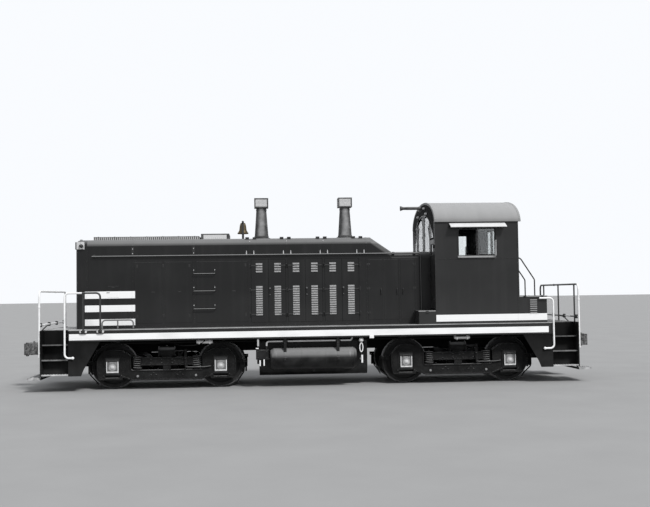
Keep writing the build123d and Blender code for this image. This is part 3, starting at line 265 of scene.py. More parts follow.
def surface(rings):
    """Joins rings of points, given as copies x rings x corners x 3, each corner to the next one
    and to the same corner of the next ring."""
    copies, ring_count, corners, _ = rings.shape
    copy, ring, corner = np.indices((copies, ring_count - 1, corners))
    start = (copy * ring_count + ring) * corners
    here, beside = start + corner, start + (corner + 1) % corners
    faces = np.stack([here, beside, beside + corners, here + corners], axis=-1)
    return rings.reshape(-1, 3), faces.reshape(-1, 4)


def carried(outline, path, normal, closed=False):
    """Carries a closed outline along a path: path + across * u + normal * v for each outline
    point (u, v), where across is square to the path and is one over the cosine of half the
    bend long, so that corners are mitred. An open path is closed by a pole at each end."""
    path, normal, outline = (np.asarray(value, float) for value in (path, normal, outline))
    steps = np.roll(path, -1, axis=0) - path
    if not closed:
        steps[-1] = steps[-2]
    steps /= np.linalg.norm(steps, axis=1, keepdims=True)
    before = np.roll(steps, 1, axis=0)
    if not closed:
        before[0] = steps[0]
    middle = before + steps
    middle /= np.linalg.norm(middle, axis=1, keepdims=True)
    across = np.cross(middle, normal) / (middle * steps).sum(axis=1, keepdims=True)
    rings = path[:, None] + across[:, None] * outline[:, :1] + normal * outline[:, 1:]
    if closed:
        rings = np.concatenate([rings, rings[:1]])
    else:
        poles = rings[[0, -1]].mean(axis=1, keepdims=True).repeat(len(outline), axis=1)
        rings = np.concatenate([poles[:1], rings, poles[1:]])
    return surface(rings[None])


def around(centre, first, second, count, start=0.0):
    """Points round an ellipse: centre + cos t * first + sin t * second."""
    angle = start + np.linspace(0, 2 * np.pi, count, endpoint=False)[:, None]
    return np.array(centre) + np.cos(angle) * np.array(first) + np.sin(angle) * np.array(second)


def pipe(radius, path, normal, closed=False, sides=8):
    """Round bar: the circle radius * (cos t, sin t) carried along a path."""
    return carried(around((0, 0), (radius, 0), (0, radius), sides), path, normal, closed)


def turned(profile, centres, axis, corners=12):
    """Turns a profile of (radius, height) points about an axis through each centre:
    centre + radius * (cos t * u + sin t * v) + height * axis."""
    profile, axis = np.asarray(profile, float), np.asarray(axis, float)
    centres = np.asarray(centres, float).reshape(-1, 1, 1, 3)
    side = np.cross(axis, (0.31, 0.47, 0.83))
    side /= np.linalg.norm(side)
    circle = around((0, 0, 0), side, np.cross(axis, side), corners)
    return surface(centres + profile[:, :1, None] * circle + profile[:, 1:, None] * axis)


def joined(shapes):
    """Puts several surfaces into one."""
    starts = np.cumsum([0] + [len(points) for points, _ in shapes])
    faces = [faces + start for (_, faces), start in zip(shapes, starts)]
    return np.vstack([points for points, _ in shapes]), np.vstack(faces)


def mirrored(shapes, *axes):
    """Surfaces together with their mirror images across the planes where a coordinate is 0."""
    points, faces = joined(shapes)
    for axis in axes:
        flip = np.ones(3)
        flip[axis] = -1
        faces = np.vstack([faces, faces[:, ::-1] + len(points)])
        points = np.vstack([points, points * flip])
    return points, faces


def moved(shape, place, flip=(1, 1, 1)):
    """The same surface, multiplied by three signs and then moved by a vector."""
    points, faces = shape
    return points * flip + place, faces


def piece(name, body, finish, shapes):
    """Makes one mesh piece that rides on a body: doubled points are merged, faces turned outwards
    and edges over 35 degrees kept sharp."""
    points, faces = joined(shapes)
    mesh = bpy.data.meshes.new(name)
    mesh.from_pydata(points.tolist(), [], faces.tolist())
    shaped = bmesh.new()
    shaped.from_mesh(mesh)
    bmesh.ops.remove_doubles(shaped, verts=shaped.verts, dist=1e-5)
    bmesh.ops.recalc_face_normals(shaped, faces=shaped.faces)
    shaped.to_mesh(mesh)
    shaped.free()
    mesh.polygons.foreach_set("use_smooth", [True] * len(mesh.polygons))
    mesh.set_sharp_from_angle(angle=np.radians(35))
    mesh.materials.append(finish.material)
    made = bpy.data.objects.new(name, mesh)
    bpy.context.scene.collection.objects.link(made)
    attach(made, body)


def on_trucks(name, finish, shape):
    """Puts a shape, drawn about a truck's centre, on both trucks."""
    for body, centre in (("truck_front", -truck_centre), ("truck_rear", truck_centre)):
        piece(f"{body}_{name}", body, finish, [moved(shape, (centre, 0, 0))])


spring_x, spring_y, spring_low, spring_high = 0.669, -1.024, 0.45, 0.69
coil_radius, coil_turns = 0.096, 5
climb = np.linspace(0, 1, coil_turns * 16 + 1)
coil_angle = 2 * np.pi * coil_turns * climb
coil_path = np.stack([
    spring_x + coil_radius * np.cos(coil_angle),
    spring_y + coil_radius * np.sin(coil_angle),
    spring_low + (spring_high - spring_low) * climb,
], axis=1)
spring_cap = ((0, 0), (0.104, 0), (0.104, 0.016), (0.095, 0.022), (0.03, 0.024), (0.03, 0.05), (0, 0.055))
springs = mirrored([
    pipe(0.012, coil_path, upward),
    turned(spring_cap, (spring_x, spring_y, 0.712), upward, 24),
], 0, 1)
on_trucks("springs", cast_iron, springs)


# Journal box lids: pressed steel lids in a raised rim, hinged on a pin along their top and rubbed
# bare and bright by boots and oil cans, with a painted highlight on each lid's round boss.
def bar(width, height, path, normal, closed=False):
    """Flat bar: a rectangle `width` across the path and `height` along its normal."""
    half = width / 2
    return carried(((-half, 0), (half, 0), (half, height), (-half, height)), path, normal, closed)


def rods(centres, axis, radius, half_length, corners=8):
    """Plain round pins that reach half_length each way along the axis."""
    profile = ((0, -half_length), (radius, -half_length), (radius, half_length), (0, half_length))
    return turned(profile, centres, axis, corners)


def bolts(centres, axis, radius):
    """Hexagonal heads with a chamfered top, standing on a surface that faces along the axis."""
    outline = ((0, -0.3), (1, -0.3), (1, 0.55), (0.78, 0.72), (0, 0.72))
    return turned(radius * np.array(outline), centres, axis, 6)


def plates(centres, halves, height, out, bevel=0.003):
    """Rectangular plates: outlines of (level, rise) times the half sizes at heights 0 and
    height - bevel, then drawn in by the bevel at full height, closed by a pole on both faces."""
    out = np.asarray(out, float)
    centres = np.asarray(centres, float).reshape(-1, 1, 1, 3)
    level = np.cross(upward, out) if abs(out[2]) < 0.9 else np.array((1.0, 0.0, 0.0))
    rise = np.cross(out, level)
    halves = np.asarray(halves, float).reshape(-1, 1, 2)
    spread = np.concatenate([0 * halves, halves, halves, halves - bevel, 0 * halves], axis=1)[:, :, None]
    corners = spread * np.array([(-1, -1), (1, -1), (1, 1), (-1, 1)])
    heights = np.array((0, 0, height - bevel, height, height)).reshape(-1, 1, 1)
    return surface(centres + corners[..., :1] * level + corners[..., 1:] * rise + heights * out)


def domed(centre, halves, depth, squareness, corners=24):
    """A pressed cover on the near side: superellipse outlines, scaled by a share s that falls
    from 1 to 0, at the height depth * (1 - s^3)."""
    circle = around((0, 0), (1, 0), (0, 1), corners)
    outline = np.sign(circle) * abs(circle) ** (2 / squareness) * halves
    share = np.concatenate([[0, 1], np.linspace(1, 0, 6)])[:, None, None]
    height = depth * (1 - share ** 3)
    height[0] = 0
    spread = share * outline
    level = np.array((1.0, 0.0, 0.0))
    return surface((centre + spread[..., :1] * level + spread[..., 1:] * upward + height * near)[None])


lid_y, lid_z, lid_half_width, lid_half_height = -1.12, 0.5385, 0.122, 0.128
panel_half, panel_low, panel_high, boss_drop = 0.119, -0.121, 0.105, 0.03
box_iron = Finish("journal_box_iron", Specular_IOR_Level=0.5)
worn = box_iron.noise(40.0, 3.0)
beside_lid = abs(abs(abs(box_iron.x) - truck_centre) - axle_offset)
above_lid = box_iron.z - lid_z
lid_rim = (1.0 - (beside_lid < panel_half) * (above_lid > panel_low)) * (above_lid < panel_high)
# A painted highlight: a bright round spot on each lid's boss.
lid_boss_highlight = 1.0 - ((beside_lid * beside_lid + (above_lid + boss_drop) ** 2.0) * 120.0).ramp(0.1, 1.0)
lid_tone = (lid_rim * 0.9 + lid_boss_highlight * 0.5 + worn * 0.35) * (above_lid < 0.1)
lid_face = (abs(box_iron.y) > 1.119) * (beside_lid < 0.135)
box_iron.feed("Base Color", (lid_face * lid_tone).tint(0.025, 0.75))
box_iron.feed("Roughness", 0.35 + 0.3 * worn)
box_iron.bump(worn, 0.001)
box_iron.onto("truck_front_boxes", "truck_rear_boxes")
rim_corners = [(-1, -1), (1, -1), (1, 0.8), (0.75, 1), (-0.75, 1), (-1, 0.8)]
rim_path = [(axle_offset + u * lid_half_width, lid_y, lid_z + v * lid_half_height) for u, v in rim_corners]
pin_z = lid_z + lid_half_height + 0.004
lids = mirrored([
    bar(0.02, 0.02, rim_path, near, True),
    domed((axle_offset, lid_y, lid_z), (0.108, 0.112), 0.02, 6.0),
    domed((axle_offset, lid_y - 0.012, lid_z - boss_drop), (0.055, 0.045), 0.024, 2.6, 16),
    rods((axle_offset, lid_y - 0.02, pin_z), (1, 0, 0), 0.014, 0.09, 10),
    plates([(axle_offset + u, lid_y, pin_z) for u in (-0.07, 0.07)], (0.012, 0.024), 0.034, near),
    plates((axle_offset, lid_y, lid_z - lid_half_height - 0.004), (0.045, 0.012), 0.03, near),
    bolts([(axle_offset + u, lid_y, lid_z - 0.147) for u in (-0.11, 0.11)], near, 0.011),
], 0, 1)
on_trucks("lids", box_iron, lids)


# Truck fittings: the flanged rim of the side beams, bolts and washers, the brake levers outside
# them with their pull rods, the nuts around the brake cylinders, and the bent sand pipes.
def bent(points, radius, steps=5):
    """Rounds the corners of a route: each becomes (1-s)^2 a + 2s(1-s) corner + s^2 b, where a and
    b lie `radius` before and after the corner."""
    points = np.asarray(points, float)
    corner, back, ahead = points[1:-1], points[:-2] - points[1:-1], points[2:] - points[1:-1]
    first = corner + radius * back / np.linalg.norm(back, axis=1, keepdims=True)
    last = corner + radius * ahead / np.linalg.norm(ahead, axis=1, keepdims=True)
    share = np.linspace(0, 1, steps)[:, None]
    weights = ((1 - share) ** 2, 2 * share * (1 - share), share ** 2)
    arcs = sum(weight * end[:, None] for weight, end in zip(weights, (first, corner, last)))
    return np.vstack([points[:1], arcs.reshape(-1, 3), points[-1:]])


def places(x, y, z):
    """Every point whose coordinates are one of x, one of y and one of z."""
    return np.stack(np.meshgrid(x, y, z, indexing="ij"), axis=-1).reshape(-1, 3)


def upright(low, high):
    """The corners of an upright rectangle, from its lowest corner to the one opposite."""
    return [low, (*high[:2], low[2]), high, (*low[:2], high[2])]


casting_y, beam_y, lever_y, cylinder = -1.098, -1.092, -1.122, (0, -1.01, 0.845)
small_bolts = np.vstack([
    places((axle_offset - 0.2, axle_offset + 0.2), casting_y, 0.31),
    places((0.12, 0.36, 0.6), beam_y, (0.585, 0.665)),
    places((0.24, 0.36), casting_y, 0.32),
    places(0.3, casting_y, 0.37),
])
cylinder_nuts = around((0.19, *cylinder[1:]), (0, 0.114, 0), (0, 0, 0.114), 8)
cylinder_cap = ((0, 0.09), (0.03, 0.09), (0.03, 0.13), (0.018, 0.14), (0, 0.15))
sand_path = bent([(1.75, -0.99, 0.62), (1.75, -0.99, 0.36), (1.62, -0.75, 0.16), (1.585, -0.75, 0.1)], 0.06)
end_pieces = mirrored([
    bar(0.022, 0.009, upright((-0.745, beam_y, 0.549), (0.745, beam_y, 0.701)), near, True),
    bolts(small_bolts, near, 0.017),
    bolts((spring_seat, casting_y, 0.3), near, 0.03),
    bolts(cylinder_nuts, (1, 0, 0), 0.012),
    pipe(0.016, sand_path, (1, 0, 0)),
    plates((1.75, -0.96, 0.6), (0.03, 0.03), 0.05, near),
    turned(cylinder_cap, cylinder, upward, 8),
], 0)
lever_path = [(0.43, lever_y, 0.9), (0.425, lever_y, 0.7), (0.44, lever_y, 0.47)]
rod_path = [(0.44, -1.136, 0.485), (0.86, -1.136, 0.485), (1.0, lever_y, 0.5)]
lever_pin = ((0, 0), (0.022, 0), (0.022, 0.016), (0.012, 0.022), (0, 0.022))
truck_shapes = mirrored([
    end_pieces,
    bar(0.06, 0.014, lever_path, near),
    pipe(0.013, rod_path, upward),
    turned(lever_pin, [(0.43, -1.136, 0.845), (0.44, -1.136, 0.485), (0.425, -1.136, 0.68)], near, 10),
], 1)
on_trucks("fittings", cast_iron, truck_shapes)


# Underframe steel: rolled beams and plates in matt black with brown-grey dust that thickens
# downwards. The step treads' edges and the foot planks are painted white and worn; the two upper
# treads' edges are painted much darker, as painted shade.
tread_y, tread_x, plank_x, plank_top = 1.36, (5.482, 6.069), 6.1, 0.335
frame_paint = Finish("frame_steel", Specular_IOR_Level=0.1)
mud = frame_paint.noise(3.0, 5.0) * (1.2 - frame_paint.z.ramp(0.1, 1.3))
frame_tone = mud.ramp(0.2, 0.9).tint(0.005, 0.035)
# The lowest tread's edge shows white; the two upper ones are painted darker, as painted shade.
tread_edges_and_shade = (((0.377, 0.404), 0.5), ((0.702, 0.729), 0.16), ((1.037, 1.064), 0.1))
step_edge = sum(frame_paint.z.between(*level) * shade for level, shade in tread_edges_and_shade)
step_edge = step_edge * (abs(frame_paint.y) > tread_y) * abs(frame_paint.x).between(*tread_x)
tread_wear = frame_paint.noise(9.0, 5.0, (1.0, 0.3, 1.0)).ramp(0.3, 0.7)
frame_tone = (step_edge * (0.6 + 0.6 * tread_wear)).tint(frame_tone, 1.0)
plank = (abs(frame_paint.x) > plank_x) * (frame_paint.z < plank_top)
frame_paint.feed("Base Color", plank.tint(frame_tone, tread_wear.tint(0.16, 0.5)))
frame_paint.feed("Roughness", 0.6 + 0.25 * mud)
frame_paint.bump(frame_paint.noise(14.0, 3.0), 0.002)
frame_paint.onto("centre_sill", "body_bolsters", "corner_steps", "end_plates")

# On it: bolt rows on the end plates and skirts, poling sockets at the four corners, plank bolts,
# grips on the treads, the frame around each coupler's opening, and the pipes that run under the
# sills.
end_x, skirt_y, pipe_top = 6.095, -1.512, (-2.48, -1.47, 1.118)
end_rows = np.vstack([
    places(end_x, np.linspace(-1.35, 1.35, 10), (0.52, 1.28)),
    places(end_x, (-1.35, 1.35), (0.72, 0.9, 1.1)),
])
socket = ((0, 0), (0.095, 0), (0.095, 0.045), (0.08, 0.052), (0.07, 0.045), (0.05, 0.015), (0, 0.006))
tread_grips = [
    plates(places(np.linspace(5.52, 6.03, 9), -1.44 + 0.06 * step, top), (0.008, 0.07), 0.006, upward)
    for step, top in enumerate((0.403, 0.728, 1.063))
]
corner_pieces = mirrored([
    turned(socket, (end_x, -1.12, 0.93), (1, 0, 0), 20),
    bolts(places((6.15, 6.24, 6.33), (-0.4, -0.465, -1.29, -1.4), 0.33), upward, 0.014),
    *tread_grips,
    bolts(places(np.linspace(4.9, 5.44, 5), skirt_y, 1.09), near, 0.012),
    bolts(places((5.26, 5.4), skirt_y, 0.4), near, 0.012),
], 1)
opening_path = [(end_x, -0.19, 0.6), (end_x, -0.19, 1.094), (end_x, 0.19, 1.094), (end_x, 0.19, 0.6)]
sag_path = bent([pipe_top, (-2.5, -1.47, 1.05), (-2.68, -1.46, 0.995), (-3.0, -1.4, 0.985),
                 (-3.16, -1.36, 1.03)], 0.07)
pipe_nut = ((0, 0), (0.022, 0), (0.022, 0.03), (0.012, 0.045), (0, 0.045))
piece("underframe_fittings", "frame", frame_paint, [
    mirrored([
        bolts(end_rows, (1, 0, 0), 0.016),
        corner_pieces,
        bar(0.05, 0.016, opening_path, (1, 0, 0)),
    ], 0),
    mirrored([
        pipe(0.021, [(-5.0, -1.2, 1.06), (5.0, -1.2, 1.06)], upward),
        pipe(0.009, sag_path, near),
        turned(pipe_nut, pipe_top, -upward, 8),
        bolts(places((-3.43, -3.275, 3.275, 3.43), (-1.46, -1.3), 1.088), -upward, 0.014),
    ], 1),
])


# Side sills: black channels with one long white stripe low on their outer faces, which stops
# before the rear steps.
def black_enamel(name, base=0.005, gloss=0.3):
    """Black enamel whose gloss varies, with thin vertical streaks, a dusty foot and upward faces made
    lighter.
    """
    made = Finish(name, Specular_IOR_Level=0.32)
    patch = made.noise(1.3, 4.0)
    streak = made.noise(9.0, 3.0, (1.0, 1.0, 0.06))
    fine = made.noise(60.0, 2.0)
    dust = (1.0 - made.z.ramp(1.4, 2.3)) * 0.5 + streak.ramp(0.5, 0.8) * 0.3 + patch.ramp(0.45, 0.75) * 0.3
    # Upward faces are made lighter.
    lighter_on_top = made.facing_z.ramp(0.35, 0.9)
    made.grime = dust * 0.6 * (0.6 + 0.4 * fine)
    made.paint = lighter_on_top.tint(made.grime.tint(base, base + 0.022), 0.13)
    made.feed("Roughness", gloss + 0.25 * dust + 0.08 * fine)
    made.bump(made.noise(2.2, 2.0, (1.0, 1.0, 0.7)) + 0.02 * fine, 0.004)
    return made


sill_face, sill_stripe_z, sill_stripe_end = 1.5235, (1.153, 1.291), 5.385
sill_paint = black_enamel("sill_enamel")
sill_stripe = (abs(sill_paint.y) > sill_face) * sill_paint.z.between(*sill_stripe_z)
sill_stripe = sill_stripe * (sill_paint.x < sill_stripe_end)
sill_white = sill_paint.noise(7.0, 4.0, (0.3, 1.0, 1.0)).ramp(0.45, 0.8).tint(0.83, 0.7)
sill_paint.feed("Base Color", sill_stripe.tint(sill_paint.paint, sill_white))
sill_paint.onto("side_sills")


# Couplers: cast heads with a knuckle on an upright pin, a lock lifter on top and a row of rivets
# through the shank's end.
knuckle_x, knuckle_y, head_top, head_foot = 6.69, 0.1, 1.039, 0.769
knuckle_pin = ((0, 0), (0.038, 0), (0.038, 0.018), (0.024, 0.03), (0, 0.032))
head_rib = [(6.45, -0.1, head_top), (6.6, -0.13, head_top), (knuckle_x, -0.12, head_top)]
coupler_shape = joined([
    turned(knuckle_pin, (knuckle_x, knuckle_y, head_top), upward, 14),
    turned(knuckle_pin, (knuckle_x, knuckle_y, head_foot), -upward, 14),
    bar(0.03, 0.012, head_rib, upward),
    turned(((0, 0), (0.02, 0), (0.02, 0.05), (0, 0.06)), (6.55, 0.03, head_top), upward, 10),
    bolts(places((6.2, 6.3), (-0.03, 0.03), 0.969), upward, 0.016),
])
for body, flip in (("coupler_rear", (1, 1, 1)), ("coupler_front", (-1, -1, 1))):
    piece(f"{body}_fittings", body, cast_iron, [moved(coupler_shape, (0, 0, 0), flip)])


# Tanks under the deck: riveted steel plate in satin black with a little dust and a light feed pipe.
# A painted highlight runs along the reservoirs' tops, brighter in rings at their seams and straps.
strap_middle, strap_apart, strap_half = -0.07, 0.6, 0.06
tank_paint = Finish("tank_steel", Specular_IOR_Level=0.25)
tank_dust = tank_paint.noise(5.0, 4.0)
# Painted highlight along the reservoirs' tops, with brighter painted rings at their seams and straps.
tank_highlight = tank_paint.facing_z.ramp(0.1, 0.75) * (abs(tank_paint.y) > 1.0)
off_strap = abs(abs(tank_paint.x - strap_middle) - strap_apart) > strap_half
feed_pipe = (abs(tank_paint.y) > 1.4) * (tank_paint.z > 0.95) * off_strap
highlight_rings = ((-0.965, -0.93, 1.6), (0.785, 0.81, 0.8), (-0.88, -0.865, 0.3), (0.475, 0.49, 0.3))
ring_highlights = sum(tank_paint.x.between(low, high) * light for low, high, light in highlight_rings)
tank_highlight = tank_highlight * (1.0 + ring_highlights)
tank_tone = (tank_dust.ramp(0.35, 0.8) * 0.1 + tank_highlight).tint(0.004, 0.2)
tank_paint.feed("Base Color", feed_pipe.tint(tank_tone, tank_dust.tint(0.3, 0.5)))
tank_paint.feed("Roughness", 0.25 + 0.25 * tank_dust)
tank_paint.bump(tank_paint.noise(3.0, 2.0), 0.003)
tank_paint.onto("fuel_tank", "air_system")

# On them: the reservoirs' weld rings and strap bolts, the fuel tank's seams, filler cap, drain
# cock and pipe unions. Two small air tanks hang on brackets under each sill.
tank_y, reservoir_y, reservoir_z, reservoir_radius = -0.93, -1.262, 0.643, 0.248
strap_x, ring_top = (strap_middle - strap_apart, strap_middle + strap_apart), reservoir_radius + 0.004
weld_ring = ((0.24, -0.012), (ring_top, -0.009), (ring_top, 0.009), (0.24, 0.012))
lug_y = reservoir_y - reservoir_radius - 0.008
filler_cap = ((0, 0), (0.06, 0), (0.06, 0.02), (0.045, 0.03), (0.02, 0.034), (0.02, 0.055), (0, 0.058))
union_path = bent([(-1.02, -1.28, 0.643), (-1.12, -1.28, 0.643), (-1.12, -1.38, 0.75)], 0.04)
drain_cock = ((0, 0), (0.028, 0), (0.028, 0.05), (0, 0.06))
small_tank = ((0, 0), (0.036, 0), (0.045, 0.02), (0.045, 0.34), (0.036, 0.36), (0, 0.36))
piece("tank_fittings", "frame", tank_paint, [mirrored([
    turned(weld_ring, places((-0.92, -0.3, 0.25, 0.87), reservoir_y, reservoir_z), (1, 0, 0), 40),
    bolts(places([x + u for x in strap_x for u in (-0.018, 0.018)], -1.462, (1.0, 1.06)), near, 0.012),
    plates(places(strap_x, lug_y, reservoir_z), (0.035, 0.04), 0.012, near),
    bolts(places(strap_x, lug_y - 0.012, reservoir_z), near, 0.014),
    *[bar(0.03, 0.004, [(-1.24, tank_y, z), (1.24, tank_y, z)], near) for z in (0.43, 1.04)],
    bolts(places(np.linspace(-1.2, 1.2, 13), tank_y, (0.475, 1.0)), near, 0.011),
    turned(filler_cap, (1.18, -1.0, 0.97), near, 16),
    pipe(0.018, union_path, near),
    turned(drain_cock, (-0.02, reservoir_y, 0.398), -upward, 8),
    bolts(places((-1.29, -1.09), -1.5, (0.69, 0.82)), near, 0.012),
    turned(small_tank, places((-2.66, 3.2), -1.43, 1.07), (1, 0, 0), 16),
    plates(places((-2.6, -2.36, 3.26, 3.5), -1.43, 1.07), (0.012, 0.05), 0.05, near),
], 1)])


# Handrails: steel pipe in white enamel where a hand or a lantern finds it first. The front corner
# rails turn black from the second post inwards, and the rear posts and grab rails are black.
rail_paint = Finish("rail_enamel", Specular_IOR_Level=0.5)
rail_wear = rail_paint.noise(12.0, 4.0)
in_front = rail_paint.x.between(-5.17, -4.0)
rear_dark = (rail_paint.x > 6.0) * (rail_paint.y > -1.4) * (abs(rail_paint.y) < 1.6)
hand_part = rail_paint.y.between(-0.92, -0.5) * rail_paint.z.between(1.4, 1.6)
grabs = rail_paint.x.between(4.7, 5.24) * (abs(rail_paint.y) < 1.45)
clamps = (abs(rail_paint.x) > 6.09) * rail_paint.y.between(-1.3, 1.3) * (rail_paint.z < 1.385)
rail_dark = (in_front | rear_dark * (1.0 - hand_part)) | (grabs | clamps)
rail_white = rail_wear.ramp(0.35, 0.8).tint(0.85, 0.68)
rail_black = rail_paint.facing_z.ramp(0.3, 0.9).tint(0.02, 0.1)
rail_paint.feed("Base Color", rail_dark.tint(rail_white, rail_black))
rail_paint.feed("Roughness", 0.3 + 0.3 * rail_wear)
rail_paint.onto("handrails")

# In the same white: ball ends on the corner rails' hooks, couplings on the hoops, the handles and
# the loop of the cocks below the deck, and a tag on the sill.
rail_y, hoop_x, hoop_top = -1.5453, 6.1163, 2.248
ball = [(0.034 * np.sin(t), -0.034 * np.cos(t)) for t in np.linspace(0, np.pi, 9)]
collar = ((0.02, -0.03), (0.027, -0.024), (0.027, 0.024), (0.02, 0.03))
valve_cap = ((0, -0.04), (0.035, -0.04), (0.055, -0.01), (0.05, 0.025), (0.02, 0.05), (0, 0.052))
cock_end = ((0, 0), (0.018, 0), (0.03, 0.02), (0.018, 0.05), (0, 0.055))
valve_loop = around((1.06, -1.43, 0.88), (0.036, 0, 0), (0, 0, 0.1), 16)
piece("rail_ends", "frame", rail_paint, [
    mirrored([
        turned(ball, [(-5.375, rail_y, 0.762), (5.285, rail_y, 0.788)], (1, 0, 0), 14),
        turned(collar, places((-hoop_x, hoop_x), -1.48, 1.9), upward, 12),
        turned(cock_end, (1.1, tank_y, 0.6), near, 10),
        plates([(1.16, tank_y, 1.03), (-1.3, -1.5, 0.9)], [(0.02, 0.045), (0.03, 0.012)], 0.02, near),
        plates([(-1.24, -1.5, 0.57), (-1.15, -1.5, 0.58)], [(0.014, 0.065), (0.014, 0.07)], 0.016, near),
        turned(valve_cap, (1.06, -1.42, 1.05), upward, 14),
        pipe(0.011, valve_loop, near, True),
        plates((1.075, -1.43, 0.62), (0.02, 0.09), 0.014, near, 0.006),
        plates((1.29, -1.524, 1.119), (0.05, 0.033), 0.014, near, 0.006),
    ], 1),
    mirrored([turned(collar, (hoop_x, 0.32, hoop_top), (0, 1, 0), 12)], 0),
])


# Black fittings of forged steel, dusty on top: the rails' foot clamps with rubbed bolt heads, the
# uncoupling levers' brackets and links, the cocks' stems and the deck's round covers.
black_steel = Finish("black_fittings", Specular_IOR_Level=0.4)
fitting_dust = black_steel.noise(12.0, 4.0)
fitting_tone = (black_steel.facing_z.ramp(0.2, 0.9) * fitting_dust).tint(0.012, 0.22)
rubbed_heads = abs(black_steel.y).between(1.56, 1.58)
black_steel.feed("Base Color", rubbed_heads.tint(fitting_tone, 0.5))
black_steel.feed("Roughness", 0.45 + 0.3 * fitting_dust)
black_steel.bump(fitting_dust, 0.001)
deck_top, foot_x, bracket_y = 1.378, (-5.145, -4.77), (-1.3, -0.42, 0.42, 1.3)
foot_saddle = [(-0.085, -1.53, 1.335), (-0.045, -1.552, 1.345), (0.045, -1.552, 1.345), (0.085, -1.53, 1.335)]
link_path = bent([(6.1163, 0.05, 1.498), (6.25, 0.05, 1.47), (6.42, 0.04, 1.3), (6.45, 0.03, 1.1)], 0.06)
deck_cover = ((0, 0), (0.05, 0), (0.05, 0.012), (0, 0.014))
piece("rail_clamps", "frame", black_steel, [
    mirrored([
        *[moved(bar(0.055, 0.028, foot_saddle, near), (x, 0, 0)) for x in foot_x],
        bolts(places([x + u for x in foot_x for u in (-0.06, 0.06)], -1.556, 1.34), near, 0.014),
        pipe(0.016, [(1.06, -1.4, 0.5), (1.06, -1.4, 1.11)], near),
    ], 1),
    mirrored([
        plates(places(end_x, bracket_y, 1.498), (0.03, 0.045), 0.05, (1, 0, 0)),
        bolts(places(end_x + 0.05, bracket_y, 1.53), (1, 0, 0), 0.011),
        pipe(0.014, link_path, near),
    ], 0),
    turned(deck_cover, places((-4.8, -4.45, -4.1), (-1.1, 1.1), deck_top), upward, 16),
])


# Deck: chequered plate in worn dark grey, lighter towards the nose, whose outer edge, under a thin
# edge strip, carries a painted highlight.
deck_paint = Finish("deck_plate", Specular_IOR_Level=0.4)
wave = {"Vector": deck_paint.place, "Scale": 30.0}
tread = deck_paint.place.node("ShaderNodeTexWave", {"wave_type": "BANDS"}, wave)
scuffs = deck_paint.noise(4.0, 5.0)
# Painted highlight on the deck's outer edge faces.
deck_edge_highlight = (deck_paint.facing_z < 0.5) * (abs(deck_paint.y) > 1.5)
at_nose = (0.0 - deck_paint.x).ramp(4.7, 5.4) * (deck_paint.facing_z > 0.5)
deck_tone = at_nose.tint(scuffs.ramp(0.35, 0.75).tint(0.07, 0.2), scuffs.tint(0.25, 0.5))
deck_paint.feed("Base Color", deck_edge_highlight.tint(deck_tone, scuffs.tint(0.3, 0.6)))
deck_paint.feed("Roughness", 0.6 + 0.25 * scuffs)
deck_paint.bump(tread * 0.5 + 0.5 * scuffs, 0.003)
deck_paint.onto("deck")
edge_strip = bar(0.02, 0.005, [(-5.45, -1.518, deck_top), (5.45, -1.518, deck_top)], upward)
piece("deck_edges", "frame", deck_paint, [mirrored([edge_strip], 1)])


# Hood: sheet steel in glossy black enamel, with three white stripes on each side of its front end
# and the upper side of every louvre painted lighter, as painted light from above.
stripe_x, louvre_slope = (-5.215, -4.08), (0.36, 0.52)
stripe_bands = ((2.069, 2.232), (1.765, 1.916), (1.452, 1.598))
hood_paint = black_enamel("hood_enamel")
on_side = abs(hood_paint.y) > 0.905
in_stripe = sum(hood_paint.z.between(low, high) for low, high in stripe_bands)
hood_white = hood_paint.grime.tint(0.83, 0.72)
hood_stripes = on_side * hood_paint.x.between(*stripe_x) * in_stripe
louvre_face = hood_paint.facing_z.between(*louvre_slope) * (abs(hood_paint.y) > 0.9) * (hood_paint.z < 2.85)
# The louvres' upper sides are painted light grey: painted light from above.
louvre_top_light = hood_paint.noise(30.0, 3.0).ramp(0.3, 0.7).tint(0.13, 0.27)
hood_tone = louvre_face.tint(hood_paint.paint, louvre_top_light)
hood_paint.feed("Base Color", hood_stripes.tint(hood_tone, hood_white))
hood_doors = [f"hood_door_{side}_{number}" for side in ("near", "far") for number in range(1, 7)]
hood_paint.onto("hood_sides", "hood_nose", *hood_doors)

# Cover strips over the hood's upright joints, the angle along its foot, rivets, the flat doors
# before and behind the louvred ones, and a small hatch across the top stripe.
side_y, side_foot, shoulder_low, hatch_x = -0.914, 1.38, 3.268, -4.575
rivet = ((0, 0), (0.008, 0), (0.006, 0.004), (0, 0.006))


def cover_strip(path, half_width=0.02):
    """A strip over a joint that runs across the locomotive: it stands 4.5 mm proud of the path
    and reaches half_width each way along the length."""
    outline = ((-0.0045, -half_width), (0.0005, -half_width), (0.0005, half_width), (-0.0045, half_width))
    return carried(outline, path, (1, 0, 0))


